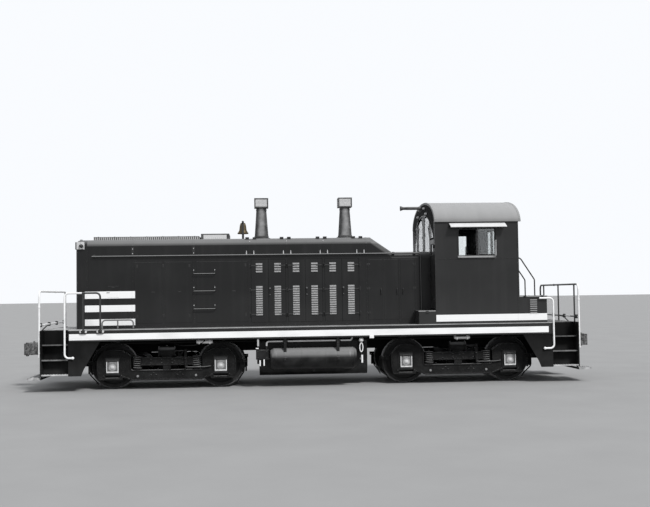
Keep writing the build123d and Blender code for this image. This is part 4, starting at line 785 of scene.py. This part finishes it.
side_joints = [(x, side_foot) for x in (-5.16, -4.13, -2.74, 1.27)]
side_joints += [(x, 3.05) for x in (-1.45, -0.595, 0.26)]
seam_rivets = np.vstack([
    places((-4.13, -2.74, 1.27), side_y - 0.004, np.arange(1.46, 3.25, 0.11)),
    places((2.04, 2.42), side_y - 0.004, np.arange(1.46, 2.9, 0.11)),
    places(-5.16, side_y - 0.004, np.arange(1.44, 3.26, 0.055)),
])
flat_doors = [(x, side_y, 2.19) for x in (1.465, 1.845, 2.23, -3.78, -3.09, -2.09)]
door_halves = [(half, 0.7) for half in (0.172, 0.172, 0.165, 0.31, 0.31, 0.59)]
piece("hood_seams", "frame", hood_paint, [mirrored([
    *[cover_strip([(x, side_y, foot), (x, side_y, shoulder_low)]) for x, foot in side_joints],
    *[bar(0.034, 0.004, [(x, side_y, side_foot), (x, side_y, 2.9)], near) for x in (2.04, 2.42)],
    bar(0.035, 0.006, [(-5.3, side_y, 1.395), (2.37, side_y, 1.395)], near),
    bolts(places(np.arange(-5.2, 2.4, 0.3), side_y - 0.006, 1.395), near, 0.01),
    turned(rivet, seam_rivets, near, 6),
    plates(flat_doors, door_halves, 0.004, near, 0.002),
    plates((hatch_x, side_y, 2.22), (0.125, 0.13), 0.004, near, 0.002),
], 1)])

# Hinges, handles and brackets on the hood: forged black steel on the sheet, with small bolt heads,
# dusty on top.
edges_x, hinge_z = (-1.45, -0.595, 0.26, 1.115), (1.648, 2.213, 2.778)
rung_x, rung_z = (-2.74, -2.26), np.array((1.798, 2.208, 2.608))
post_x, bracket_x, bracket_z = (-4.13, -2.74), (-5.0, -4.13, -2.74, *edges_x, 1.9, 2.4), 3.028
strap_bolt_z = [z + offset for z in hinge_z for offset in (-0.03, 0.03)]
hinge_places = places((1.31, 2.395), side_y - 0.004, hinge_z)
pull = pipe(0.008, bent([(0, 0, 0), (0, -0.03, 0), (0, -0.03, -0.12), (0, 0, -0.12)], 0.012), (1, 0, 0))
piece("hood_hinges", "frame", black_steel, [mirrored([
    plates(places(edges_x, side_y, hinge_z), (0.016, 0.045), 0.004, near, 0.002),
    bolts(places(edges_x, side_y - 0.004, strap_bolt_z), near, 0.007),
    plates(places(bracket_x, side_y, bracket_z), (0.028, 0.038), 0.006, near),
    bolts(places(bracket_x, side_y - 0.006, (bracket_z - 0.026, bracket_z + 0.026)), near, 0.008),
    plates(places(rung_x, side_y, rung_z + 0.05), (0.014, 0.06), 0.012, near),
    plates(places(post_x, side_y, 3.135), (0.032, 0.095), 0.012, near),
    plates(places((-4.69, -3.67, -3.07, -1.82), side_y, 2.2), (0.035, 0.008), 0.006, near, 0.002),
    plates(places((-4.03, -3.435, -2.84, -1.55), side_y, (1.65, 2.8)), (0.02, 0.035), 0.005, near, 0.002),
    plates(hinge_places, (0.04, 0.022), 0.006, near, 0.002),
    rods(hinge_places, upward, 0.012, 0.05),
    plates((hatch_x, side_y - 0.004, 2.32), (0.035, 0.007), 0.006, near, 0.002),
    *[moved(pull, (x, side_y - 0.004, 2.2)) for x in (1.6, 1.98, 2.12)],
    plates(places(-5.36, (-0.5, -0.2), 3.418), (0.02, 0.05), 0.03, upward),
], 1)])

# Bright dogs: forged pegs in pairs on the hood rail beside each door edge, lugs on the roof's
# shoulders above them, and the rungs' and posts' end nuts. Their paint has gone and the steel
# shows, duller on the door latches.
bright_steel = Finish("bare_steel", Metallic=0.4, Specular_IOR_Level=0.5)
rubbing = bright_steel.noise(20.0, 4.0)
latches = bright_steel.z.between(2.0, 2.35) * (abs(bright_steel.x) < 2.0)
bright_steel.feed("Base Color", latches.tint(rubbing.tint(0.28, 0.62), rubbing.tint(0.05, 0.2)))
bright_steel.feed("Roughness", 0.35 + 0.3 * rubbing)
bright_steel.bump(rubbing, 0.001)
peg = ((0, 0), (0.016, 0), (0.015, 0.03), (0.007, 0.085), (0, 0.09))
peg_x = [x + offset for x in edges_x for offset in (-0.075, 0.095)]
dot = ((0, 0), (0.013, 0), (0.009, 0.008), (0, 0.01))
piece("bright_pegs", "frame", bright_steel, [mirrored([
    turned(peg, places(peg_x, -0.962, 3.042), upward, 8),
    turned(dot, places(edges_x[:3], -0.893, 3.346), (0, -0.86, 0.51), 8),
    turned(dot, places(rung_x, side_y - 0.012, rung_z + 0.085), near, 8),
    turned(dot, places(post_x, side_y - 0.012, (3.09, 3.195)), near, 8),
], 1)])

# Door leaves' furniture: three strap hinges with their bolts on each leaf, and on one leaf of each
# pair the bright boss that the hanging latch turns on.
latch_boss = ((0, 0), (0.024, 0), (0.022, 0.022), (0.014, 0.034), (0, 0.036))
latch_grip = ((0, 0), (0.012, 0), (0.012, 0.012), (0, 0.014))
for number in range(1, 7):
    edge = edges_x[(number - 1) // 2 + (number - 1) % 2]
    turn = 1 if number % 2 else -1
    axis_x = edge + turn * 0.018
    latch_x = axis_x + turn * 0.3765
    bolt_x = [axis_x + turn * u for u in (0.05, 0.1, 0.145)]
    straps = joined([
        plates(places(axis_x + turn * 0.085, side_y, hinge_z), (0.075, 0.013), 0.009, near, 0.003),
        bolts(places(bolt_x, side_y - 0.009, hinge_z), near, 0.007),
        rods((axis_x, side_y - 0.018, hinge_z[1]), upward, 0.012, 0.028, 10),
        plates((axis_x + turn * 0.008, side_y, hinge_z[1]), (0.01, 0.028), 0.01, near),
    ])
    latch = joined([
        turned(latch_boss, (latch_x, side_y, 2.25), near, 14),
        turned(latch_grip, (latch_x, side_y - 0.028, 2.105), near, 8),
    ])
    for side, flip in (("near", (1, 1, 1)), ("far", (1, -1, 1))):
        body = f"hood_door_{side}_{number}"
        piece(f"{body}_straps", body, black_steel, [moved(straps, (0, 0, 0), flip)])
        if turn < 0:
            piece(f"{body}_boss", body, bright_steel, [moved(latch, (0, 0, 0), flip)])


# Hood roof: rolled sheet in the same enamel over the tops of the hood's sides, painted grey as a
# painted sheen of the sky with dust, and with soot around the stacks.
roof_paint = black_enamel("roof_enamel", 0.02, 0.42)
soot = 1.0 - (abs(roof_paint.x + 0.15) * 0.4).ramp(0.3, 1.0)
# The roof's upper faces are painted grey: a painted sheen of the sky, varied with dust.
roof_face = roof_paint.facing_z.ramp(-0.1, 0.5) * (roof_paint.z > 3.27)
roof_sheen_and_dust = roof_face * (0.7 + 0.3 * roof_paint.noise(3.0, 4.0))
roof_paint.feed("Base Color", (roof_sheen_and_dust * (1.0 - 0.25 * soot)).tint(roof_paint.paint, 0.16))
roof_paint.onto("hood_roof")

# Cover strips over the roof's joints, from one shoulder to the other, and the roof hatches' small
# black hinges, in pairs along both shoulders.
shoulder_turn = np.linspace(0, np.pi / 2, 7)
shoulder = np.stack([
    0 * shoulder_turn,
    -0.764 - 0.15 * np.cos(shoulder_turn),
    shoulder_low + 0.15 * np.sin(shoulder_turn),
], axis=1)
over_roof = np.vstack([shoulder, shoulder[::-1] * (1, -1, 1)])
hood_joints = [cover_strip(over_roof + (x, 0, 0)) for x in (-4.13, -2.74, -0.595, 1.27)]
piece("hood_roof_seams", "frame", roof_paint, hood_joints)
hatch_hinge_x = [x + offset for x in (-1.42, -0.62, 0.22, 1.06) for offset in (-0.085, 0.085)]
hatch_plates = plates(places(hatch_hinge_x, -0.8, 3.426), (0.042, 0.022), 0.06, near)
piece("hatch_hinges", "frame", black_steel, [mirrored([hatch_plates], 1)])


# Roof gear: grille, raised box, shutters, stacks and horn in sooty paint that has burnt near the
# stacks. The raised box and the grille's sides have gone light. The stacks' screens carry a painted
# reflection, and the near and far sides of the stack pipes a painted highlight.
stack_x, pipe_z, screen_z, screen_inside = (-1.163, 0.86), (3.52, 4.19), (4.222, 4.402), 0.139
gear_paint = Finish("roof_gear_steel", Specular_IOR_Level=0.4)
burnt = gear_paint.noise(7.0, 5.0)
gear_ledge = gear_paint.facing_z.ramp(0.3, 0.9) * 0.5
gear_tone = (burnt.ramp(0.3, 0.75) * 0.6 + gear_ledge).tint(0.014, 0.19)
from_stack = abs(abs(gear_paint.x - sum(stack_x) / 2) - (stack_x[1] - stack_x[0]) / 2)
# Painted highlight on the near and far sides of the stack pipes.
pipe_side_highlight = abs(gear_paint.facing_y).ramp(0.75, 1.0) * gear_paint.z.between(*pipe_z)
pipe_side_highlight = pipe_side_highlight * (from_stack < 0.2)
# Painted reflection on the stacks' screens, inside their rims.
screen_reflection = gear_paint.z.between(*screen_z) * (from_stack < 0.17) * (abs(gear_paint.facing_z) < 0.5)
screen_reflection = screen_reflection * (1.0 - (from_stack > screen_inside) * (abs(gear_paint.y) > screen_inside))
raised_box = gear_paint.x.between(-2.53, -1.99) * gear_paint.z.between(3.43, 3.53)
raised_box = raised_box * (abs(gear_paint.y) > 0.51)
grille_side = (gear_paint.x < -2.62) * (gear_paint.z < 3.488) * (abs(gear_paint.facing_y) > 0.5)
grille_side = grille_side * (abs(gear_paint.y) < 0.6425)
light_parts = screen_reflection * (0.7 + 0.3 * burnt) + pipe_side_highlight * (0.1 + 0.35 * burnt)
light_parts = light_parts + raised_box * 0.9 + grille_side * 0.8
gear_paint.feed("Base Color", light_parts.tint(gear_tone, 0.6))
gear_paint.feed("Roughness", 0.5 + 0.3 * burnt)
gear_paint.bump(burnt, 0.002)
gear_paint.onto("roof_grille", "nose_shutters", "stacks", "horn", "lamps")

# On it: wire screen over the grille, louvres and corner bolts on the raised box, clamp bands and
# flange bolts on the stacks, and the frames and wires of their spark screens.
screen_half, rim_half, rim_low, rim_high = 0.162, 0.15, 4.21, 4.414
screen_parts = []
for x in stack_x:
    for out in np.array([(0, -1, 0), (0, 1, 0), (1, 0, 0), (-1, 0, 0)], float):
        side = np.cross(upward, out)
        face = out * screen_half + (x, 0, 0)
        rim = upright(face - side * rim_half + upward * rim_low, face + side * rim_half + upward * rim_high)
        wires = [face + side * u + upward * 4.312 for u in np.linspace(-0.13, 0.13, 9)]
        cross_wires = [face + upward * z for z in np.linspace(4.23, 4.39, 6)]
        screen_parts += [
            bar(0.024, 0.006, rim, out, True),
            plates(wires, (0.003, 0.1), 0.003, out, 0.001),
            plates(cross_wires, (0.14, 0.003), 0.003, out, 0.001),
        ]
flange_bolts = np.vstack([around((x, 0, 3.468), (0.19, 0, 0), (0, 0.19, 0), 8, 0.2) for x in stack_x])
clamp_band = ((0.12, -0.02), (0.1285, -0.02), (0.1285, 0.02), (0.12, 0.02), (0.12, -0.02))
foot_band = ((0.15, -0.015), (0.1755, -0.015), (0.1735, 0.015), (0.15, 0.015), (0.15, -0.015))
pipe_sleeve = ((0, 2.29), (0.034, 2.29), (0.038, 2.4), (0.038, 2.64), (0.03, 2.66), (0, 2.66))
piece("roof_gear_fittings", "frame", gear_paint, [
    *screen_parts,
    bolts(flange_bolts, upward, 0.014),
    turned(clamp_band, places(stack_x, 0, 4.15), upward, 32),
    turned(foot_band, places(stack_x, 0, 3.5), upward, 32),
    turned(pipe_sleeve, (0, 0, 4.164), (1, 0, 0), 20),
    plates(places(np.arange(-5.04, -2.64, 0.055), 0, 3.489), (0.004, 0.6), 0.004, upward, 0.001),
    plates(places(-3.84, np.arange(-0.55, 0.56, 0.11), 3.4925), (1.2, 0.004), 0.004, upward, 0.001),
    mirrored([
        plates(places(np.arange(-5.03, -2.63, 0.045), -0.64, 3.462), (0.012, 0.035), 0.006, near, 0.002),
        plates(places(np.arange(-2.55, -1.96, 0.045), -0.52, 3.45), (0.012, 0.02), 0.006, near, 0.002),
        bolts(places((-2.56, -1.96), -0.52, 3.53), near, 0.009),
        bolts(places(np.arange(-4.95, -2.7, 0.37), -0.62, 3.498), upward, 0.011),
    ], 1),
])

# Bell: cast bronze gone dark, hung between the arms of an iron yoke whose feet are bolted to the
# hood's roof.
bell_x = -1.61
bronze = Finish("bell_bronze", Specular_IOR_Level=0.5, Metallic=0.6)
tarnish = bronze.noise(14.0, 5.0)
is_bell = ((bronze.x - bell_x) ** 2.0 + bronze.y ** 2.0 < 0.0185) * (bronze.z < 3.84) * (bronze.z > 3.5)
bronze.feed("Base Color", is_bell.tint(0.04, tarnish.tint((0.05, 0.04, 0.025), (0.16, 0.12, 0.06))))
bronze.feed("Roughness", 0.35 + 0.35 * tarnish)
bronze.bump(tarnish, 0.001)
bronze.onto("bell")
bell_band = ((0.12, -0.006), (0.135, -0.004), (0.135, 0.004), (0.12, 0.006), (0.12, -0.006))
yoke_nut = ((0, 0), (0.03, 0), (0.03, 0.02), (0.018, 0.03), (0, 0.03))
piece("bell_fittings", "frame", bronze, [
    turned(bell_band, (bell_x, 0, 3.6), upward, 32),
    mirrored([
        turned(yoke_nut, (bell_x, -0.17, 3.855), near, 6),
        bolts(places((-1.7, -1.52), -0.15, 3.438), upward, 0.012),
    ], 1),
])


# Lamps: a glass lens in a bright ring on each headlight, blank milk-glass faces on the number
# boxes, and on each box's outer side a dark round lens in a bright ring.
milk_glass = Finish("milk_glass", Specular_IOR_Level=0.6)
haze = milk_glass.noise(18.0, 3.0)
milk_glass.feed("Base Color", haze.tint(0.42, 0.58))
milk_glass.feed("Roughness", 0.12 + 0.1 * haze)
lens = [(0, -0.022)] + [(0.104 * np.sin(t), 0.02 * np.cos(t) - 0.02) for t in np.linspace(np.pi / 2, 0, 7)]
lamp_ring = ((0.1, -0.03), (0.1, 0.002), (0.118, 0.003), (0.1275, -0.005), (0.1275, -0.03), (0.1, -0.03))
headlights = (((-5.53, 0, 3.265), (-1, 0, 0)), ((4.84, 0, 3.83), (1, 0, 0)))
lens_faces = [turned(lens, place, out, 32) for place, out in headlights]
lamp_rims = [turned(lamp_ring, place, out, 32) for place, out in headlights]
box_centre, diagonal = np.array((-5.31, -0.88, 3.285)), np.array((-0.8, -0.6, 0.0))
lens_centre = (-5.285, side_y - 0.045, 3.27)
lens_dome = ((0, 0.0), (0.046, 0.0), (0.046, 0.006), (0.032, 0.018), (0, 0.024))
lens_ring = ((0.044, 0), (0.066, 0), (0.062, 0.02), (0.05, 0.022), (0.044, 0))
number_boards = mirrored([
    plates(box_centre - 0.05 * diagonal, (0.085, 0.086), 0.1, diagonal, 0.006),
    plates((-5.31, side_y, 3.285), (0.085, 0.086), 0.045, near, 0.008),
], 1)
for name, finish, shapes in (
    ("lamp_glass", milk_glass, [*lens_faces, number_boards]),
    ("lamp_rims", bright_steel, [*lamp_rims, mirrored([turned(lens_ring, lens_centre, near, 20)], 1)]),
    ("corner_lenses", black_steel, [mirrored([turned(lens_dome, lens_centre, near, 20)], 1)]),
):
    piece(name, "frame", finish, shapes)


# Rails and rungs on the hood: bent black pipe on brackets, dusty on top, and greyer on the low hoops
# beside the hood's foot.
hood_rail_paint = Finish("hood_rail_enamel", Specular_IOR_Level=0.5)
rail_dust = hood_rail_paint.facing_z.ramp(0.0, 0.9) * (0.6 + 0.4 * hood_rail_paint.noise(9.0))
low_hoop = (hood_rail_paint.z < 1.62) * (abs(hood_rail_paint.y) > 1.0)
hood_rail_paint.feed("Base Color", low_hoop.tint(rail_dust.tint(0.02, 0.3), 0.16))
hood_rail_paint.feed("Roughness", 0.35 + 0.3 * rail_dust)
hood_rail_paint.onto("hood_rails")


# Cab: the same black sheet with one white band low on its sides, which runs on over the battery
# boxes behind it. The arm rests are rubbed light, and the upward faces of the battery vents' lips and
# a line along the edges of the boxes' lids are painted lighter.
cab_face, cab_front, band_z = 1.49, 2.785, (1.435, 1.588)
cab_paint = black_enamel("cab_enamel", 0.013)
cab_band = (abs(cab_paint.y) > cab_face) * cab_paint.z.between(*band_z) * (cab_paint.x > cab_front)
cab_white = cab_paint.grime.tint(0.83, 0.72)
arm_rest = (abs(cab_paint.y) > 1.501) * cab_paint.z.between(2.88, 2.93) * cab_paint.x.between(3.3, 4.2)
# The vents' upward faces and the lids' edges are painted lighter.
vent_lips = cab_paint.facing_z.between(0.2, 0.8) * (abs(cab_paint.y) > 1.495)
vent_lips = vent_lips * cab_paint.z.between(1.59, 1.96) * cab_paint.x.between(4.96, 5.14)
box_lid = (cab_paint.x < 2.77) * cab_paint.z.between(1.67, 1.75)
lid_edge = (abs(cab_paint.y) > cab_face) * (cab_paint.z.between(1.97, 2.0) * (cab_paint.x > 4.72) + box_lid)
light_marks = (arm_rest * 0.36 + vent_lips * 0.17 + lid_edge * 0.35) * (0.6 + 0.4 * cab_paint.noise(25.0, 3.0))
cab_tone = light_marks.tint(cab_paint.paint, 0.95)
cab_paint.feed("Base Color", cab_band.tint(cab_tone, cab_white))
cab_paint.onto("cab_sides", "cab_rear_wall", "cab_front_door", "cab_rear_door", "cab_boxes")
# The cab's front wall: a darker, duller copy of the cab's enamel, as painted shade, with light window
# reveals.
front_wall_shaded = black_enamel("cab_front_enamel", 0.003, 0.7)
front_wall_shaded.surface.inputs["Specular IOR Level"].default_value = 0.06
reveal = (abs(front_wall_shaded.facing_y) > 0.7) * (abs(front_wall_shaded.y) < 1.42) * (front_wall_shaded.z > 2.95)
front_wall_shaded.feed("Base Color", reveal.tint(front_wall_shaded.grime.tint(0.003, 0.02), 0.6))
front_wall_shaded.onto("cab_front_wall")

# Frames and seams on the cab: pressed window frames with their sashes, cover strips down its
# corners, the lids' hinges and hasps on the boxes, and rivets.
front_x, rear_x, cab_y = 2.775, 4.73, -1.5
window_low, window_high, belt_z, corner_x = 2.928, 3.588, 2.868, (2.797, 4.708)
sash_low, sash_high = window_low + 0.02, window_high - 0.02
piece("cab_frames", "frame", cab_paint, [
    mirrored([
        bar(0.032, 0.01, upright((3.32, cab_y, window_low), (4.21, cab_y, window_high)), near, True),
        bar(0.034, 0.012, upright((3.765, -1.47, sash_low), (4.19, -1.47, sash_high)), near, True),
        bar(0.034, 0.01, upright((3.825, -1.447, sash_low), (4.19, -1.447, sash_high)), near, True),
        *[bar(0.04, 0.004, [(x, cab_y, 1.38), (x, cab_y, 3.7)], near) for x in corner_x],
        bar(0.03, 0.0035, [(2.82, cab_y, belt_z), (4.69, cab_y, belt_z)], near),
        turned(rivet, places(corner_x, cab_y - 0.004, np.arange(1.66, 3.7, 0.12)), near, 6),
        turned(rivet, places(np.arange(2.9, 4.65, 0.12), cab_y - 0.0035, belt_z), near, 6),
        turned(rivet, places(rear_x, (-1.42, -0.36), np.arange(2.05, 3.7, 0.12)), (1, 0, 0), 6),
        plates((5.05, cab_y, 1.77), (0.12, 0.2), 0.003, near, 0.002),
    ], 1),
    turned(rivet, places(front_x, (0.97, 1.42), np.arange(1.75, 2.9, 0.12)), (-1, 0, 0), 6),
])
hinge_y, hinge_bolt_x = -1.512, [x + u for x in (4.85, 5.25) for u in (-0.018, 0.018)]
piece("cab_box_hinges", "frame", black_steel, [mirrored([
    plates(places((4.85, 5.25), hinge_y, 1.985), (0.03, 0.02), 0.012, near),
    bolts(places(hinge_bolt_x, hinge_y - 0.012, 1.985), near, 0.006),
    plates((2.58, cab_y, 1.655), (0.03, 0.03), 0.014, near),
    bolts(places(np.linspace(4.8, 5.3, 4), -1.42, 1.998), upward, 0.009),
    rods(places(front_x, -0.93, (1.8, 2.4)), upward, 0.011, 0.05),
], 1)])

# End window rims: steel strip around each pane, which follows the arch in front, and wipers that
# hang over the panes at both ends.
pane_low, pane_high, arch_z, arch_half, arch_rise = 2.953, 3.64, 3.1, 1.38, 0.87


def arch_pane(low_y, high_y):
    """The outline of a front pane: its straight foot and sides, and above them the points
    (half * cos t, rise * sin t) of the arch's ellipse."""
    y = np.linspace(high_y, low_y, 14)
    head = arch_z + arch_rise * np.sqrt(1 - (y / arch_half) ** 2)
    top = np.stack([0 * y + front_x, y, head], axis=1)
    foot = np.array([(front_x, low_y, pane_low), (front_x, high_y, pane_low)])
    return np.vstack([foot, top])


front_panes = [arch_pane(*span) for span in ((0.03, 0.865), (0.925, 1.37), (-0.865, -0.03))]
rear_panes = [upright((rear_x, low * side, pane_low), (rear_x, high * side, pane_high))
              for low, high in ((0.42, 0.88), (0.94, 1.38)) for side in (1, -1)]
piece("end_window_rims", "frame", bright_steel, [
    *[bar(0.012, 0.004, pane, (-1, 0, 0), True) for pane in front_panes],
    *[bar(0.012, 0.004, pane, (1, 0, 0), True) for pane in rear_panes],
])
wiper_hub = ((0, 0), (0.022, 0), (0.022, 0.03), (0, 0.034))
wiper = joined([
    pipe(0.006, bent([(0, 0, 0), (0.03, 0, 0), (0.03, -0.1, -0.32)], 0.02), (0, 1, 0), sides=6),
    bar(0.014, 0.01, [(0.022, -0.02, -0.46), (0.022, -0.17, -0.2)], (1, 0, 0)),
    turned(wiper_hub, (0, 0, 0), (1, 0, 0), 10),
])
piece("end_wipers", "frame", black_steel, [
    moved(wiper, (x, flip * y, z), (way, flip, 1))
    for x, y, z, way in ((front_x, 0.5, 3.9, -1), (rear_x, 0.72, 3.62, 1)) for flip in (1, -1)
])

# Small bright pieces on the cab: the rod frames of the wind wings behind the side windows, the
# awnings' stays, the marker lamps' lenses above the front windows and the front's grab handles.
wing_path = [(4.175, -1.52, 2.94), (4.175, -1.52, 3.28), (4.175, -1.62, 3.28), (4.175, -1.62, 2.94)]
marker = ((0, 0), (0.03, 0), (0.03, 0.03), (0.02, 0.05), (0.01, 0.056), (0, 0.058))
marker_places = np.vstack([places(front_x, (-0.3, 0.3), 4.13), places(front_x, (-0.55, 0.55), 3.98)])
hand_hold = pipe(0.012, bent([(0, 0, 0), (-0.06, 0, 0), (-0.06, 0, 0.75), (0, 0, 0.75)], 0.04), (0, 1, 0))
piece("cab_bright_pieces", "frame", bright_steel, [
    mirrored([
        pipe(0.008, wing_path, (1, 0, 0), True),
        *[pipe(0.008, [(x, -1.5, 3.59), (x, -1.68, 3.594)], (1, 0, 0)) for x in (3.17, 3.77, 4.37)],
    ], 1),
    turned(marker, marker_places, (-1, 0, 0), 14),
    *[moved(hand_hold, (front_x, y, 2.05)) for y in (-0.9, 1.36)],
])


# Cab roof: rolled sheet in light grey, dusty, with faint runs down the curve, and painted lighter
# towards its crown as painted light from above.
cab_roof_paint = Finish("cab_roof_enamel", Specular_IOR_Level=0.35)
runs = cab_roof_paint.noise(5.0, 3.0, (1.0, 0.15, 0.15))
cloud = cab_roof_paint.noise(2.0, 5.0)
# Painted light from above: the upward faces are made lighter, with faint runs.
roof_runs_and_top_light = (0.6 * runs + 0.4 * cloud).ramp(0.3, 0.7) * 0.2 + 0.8 * cab_roof_paint.facing_z.ramp(0.25, 1.0)
cab_roof_paint.feed("Base Color", roof_runs_and_top_light.tint(0.165, 0.33))
cab_roof_paint.feed("Roughness", 0.5 + 0.2 * cloud)
cab_roof_paint.bump(cloud, 0.003)
cab_roof_paint.onto("cab_roof")

# On it: riveted cover strips round both of its ends.
arch_turn = np.linspace(np.pi, 0, 33)[:, None]
arch = (0, 0, 3.713) + np.cos(arch_turn) * (0, 1.53, 0) + np.sin(arch_turn) * (0, 0, 0.562)
arch_out = np.cos(arch_turn) * (0, 0.562, 0) + np.sin(arch_turn) * (0, 0, 1.53)
arch_out /= np.linalg.norm(arch_out, axis=1, keepdims=True)
roof_strips = []
for joint_x in (2.8, 4.762):
    roof_strips.append(cover_strip(arch[1:-1] + (joint_x, 0, 0), 0.022))
    for place, out in zip(arch[2:-2], arch_out[2:-2]):
        roof_strips.append(turned(rivet, place + out * 0.0045 + (joint_x, 0, 0), out, 6))
piece("cab_roof_seams", "frame", cab_roof_paint, roof_strips)


# Awnings: thin folded sheet in white over the cab's side windows, held out by stays, with a hem
# along the outer edge.
awning_paint = Finish("awning_enamel", Specular_IOR_Level=0.4)
awning_dirt = awning_paint.noise(6.0, 4.0)
awning_paint.feed("Base Color", awning_dirt.ramp(0.3, 0.8).tint(0.68, 0.56))
awning_paint.feed("Roughness", 0.4 + 0.3 * awning_dirt)
awning_paint.onto("awnings")
hem = bar(0.006, 0.012, [(x, -1.694, 3.578) for x in (3.122, 4.418)], upward)
piece("awning_hems", "frame", awning_paint, [mirrored([hem], 1)])


# Cab glass: thin clear panes with a film of dust, and darker ones let into both doors in black
# rims.
glass = Finish("cab_glass", Transmission_Weight=1.0, IOR=1.5, Base_Color=(0.93, 0.95, 0.95, 1.0))
glass.feed("Roughness", 0.02 * glass.noise(5.0, 4.0))
glass.onto("cab_glass")
door_glass = Finish("door_glass", Specular_IOR_Level=0.7)
smoke = door_glass.noise(4.0, 3.0)
door_glass.feed("Base Color", smoke.tint(0.03, 0.09))
door_glass.feed("Roughness", 0.06 + 0.1 * smoke)
for body, x, y, half_width, high in (("cab_front_door", 2.795, -1.185, 0.15, 3.22),
                                     ("cab_rear_door", 4.71, 0.0, 0.215, 3.45)):
    pane_place = (y, (pane_low + high) / 2)
    panes, rims = [], []
    for out in (-1, 1):
        rim = upright((x + out * 0.02, y - half_width, pane_low), (x + out * 0.02, y + half_width, high))
        rims.append(bar(0.018, 0.005, rim, (out, 0, 0), True))
        pane_half = (half_width, (high - pane_low) / 2)
        panes.append(plates((x + out * 0.006, *pane_place), pane_half, 0.004, (out, 0, 0)))
    piece(f"{body}_panes", body, door_glass, panes)
    piece(f"{body}_rims", body, black_steel, rims)


# Cab interior: grey-green painted floor, stand and engine block, with dials, a bolted panel and
# the knobs of two levers on the control stand.
inside = Finish("cab_inside", Specular_IOR_Level=0.4)
inside_wear = inside.noise(8.0, 4.0)
inside.feed("Base Color", inside_wear.tint((0.06, 0.07, 0.062), (0.17, 0.19, 0.17)))
inside.feed("Roughness", 0.5 + 0.3 * inside_wear)
inside.bump(inside_wear, 0.001)
inside.onto("cab_floor", "control_stand", "engine")
stand_x, stand_y, panel_z = 3.33, -1.14, 2.25
dial_y = (-1.25, -1.14, -1.03)
dial_rim = ((0.034, 0), (0.046, 0), (0.046, 0.02), (0.034, 0.02), (0.034, 0))
knob = [(0.024 * np.sin(t), -0.024 * np.cos(t)) for t in np.linspace(0, np.pi, 8)]
panel_bolts = places(stand_x + 0.006, (stand_y - 0.13, stand_y + 0.13), (panel_z - 0.1, panel_z + 0.1))
piece("stand_fittings", "frame", black_steel, [
    turned(dial_rim, places(stand_x, dial_y, 2.55), (1, 0, 0), 18),
    turned(knob, [(3.32, stand_y, 2.766), (3.2, stand_y, 2.806)], (1, 0, 0), 12),
    plates((stand_x, stand_y, panel_z), (0.15, 0.12), 0.006, (1, 0, 0)),
    bolts(panel_bolts, (1, 0, 0), 0.007),
])
dials = rods(places(stand_x + 0.004, dial_y, 2.55), (1, 0, 0), 0.035, 0.004, 18)
piece("dial_faces", "frame", milk_glass, [dials])


# Seats: two stools with cushions and backs of black leather over padding, piped around their
# edges, on a steel pan, an upright bent strap behind and a post with a round foot on the floor.
leather = Finish("seat_leather", Specular_IOR_Level=0.5)
grain = leather.noise(180.0, 2.0)
leather.feed("Base Color", leather.noise(10.0, 4.0).tint((0.02, 0.016, 0.013), (0.07, 0.055, 0.045)))
leather.feed("Roughness", 0.4 + 0.25 * grain)
leather.bump(grain, 0.001)
seat_x, seat_y, floor_z, pan_z = 3.78, 1.13, 1.728, 2.225


def cushion(centre, halves, thickness, out, crown=0.022):
    """A padded closed form: superellipse outlines whose sides pull in between the corners, a side
    that swells by sin(pi * t) and a face crowned by (1 - s^2)^1.5 over the outline's share s."""
    out = np.asarray(out, float)
    level = np.cross(upward, out) if abs(out[2]) < 0.9 else np.array((1.0, 0.0, 0.0))
    rise = np.cross(out, level)
    angle = np.linspace(0, 2 * np.pi, 48, endpoint=False)
    circle = np.stack([np.cos(angle), np.sin(angle)], axis=1)
    pulled = 1 - 0.035 * np.cos(2 * angle)[:, None] ** 2
    outline = np.sign(circle) * abs(circle) ** 0.4 * np.asarray(halves, float) * pulled
    side = np.linspace(0, 1, 7)
    face = np.linspace(1, 0, 9)[1:]
    share = np.concatenate([[0, 0.5], 0.955 + 0.045 * np.sin(np.pi * side), 0.955 * face])
    body = thickness - crown
    height = np.concatenate([[0, 0], body * side, body + crown * (1 - face ** 2) ** 1.5])
    spread = share[:, None, None] * outline
    height = height[:, None, None]
    return surface((centre + spread[..., :1] * level + spread[..., 1:] * rise + height * out)[None])


welt = np.array([(1, 1), (0, 0.975), (-1, 1), (-0.975, 0), (-1, -1), (0, -0.975), (1, -1), (0.975, 0)])
post = (
    (0, floor_z), (0.15, floor_z), (0.15, floor_z + 0.012), (0.06, floor_z + 0.03), (0.045, floor_z + 0.05),
    (0.045, pan_z - 0.06), (0.08, pan_z - 0.01), (0.08, pan_z), (0, pan_z),
)
for side, y in (("near", -seat_y), ("far", seat_y)):
    pads = {
        "cushion": cushion((seat_x, y, pan_z + 0.01), (0.215, 0.215), 0.105, upward),
        "back": cushion((4.0, y, 2.55), (0.185, 0.19), 0.07, (-1, 0, 0), 0.016),
    }
    for part, shape in pads.items():
        name = f"seat_{part}_{side}"
        piece(name, "frame", leather, [shape])
        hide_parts("seats")
    welt_path = [(seat_x + 0.2 * u, y + 0.2 * v, pan_z + 0.082) for u, v in welt]
    piece(f"seat_welt_{side}", "frame", leather, [pipe(0.006, welt_path, upward, True)])
    pan_path = bent([(seat_x - 0.15, y, pan_z), (4.012, y, pan_z), (4.012, y, 2.7)], 0.05)
    foot_bolts = around((seat_x, y, floor_z + 0.014), (0.12, 0, 0), (0, 0.12, 0), 6)
    piece(f"seat_stand_{side}", "frame", black_steel, [
        turned(post, (seat_x, y, 0), upward, 24),
        bar(0.2, 0.01, pan_path, (0, 1, 0)),
        bolts(foot_bolts, upward, 0.01),
    ])
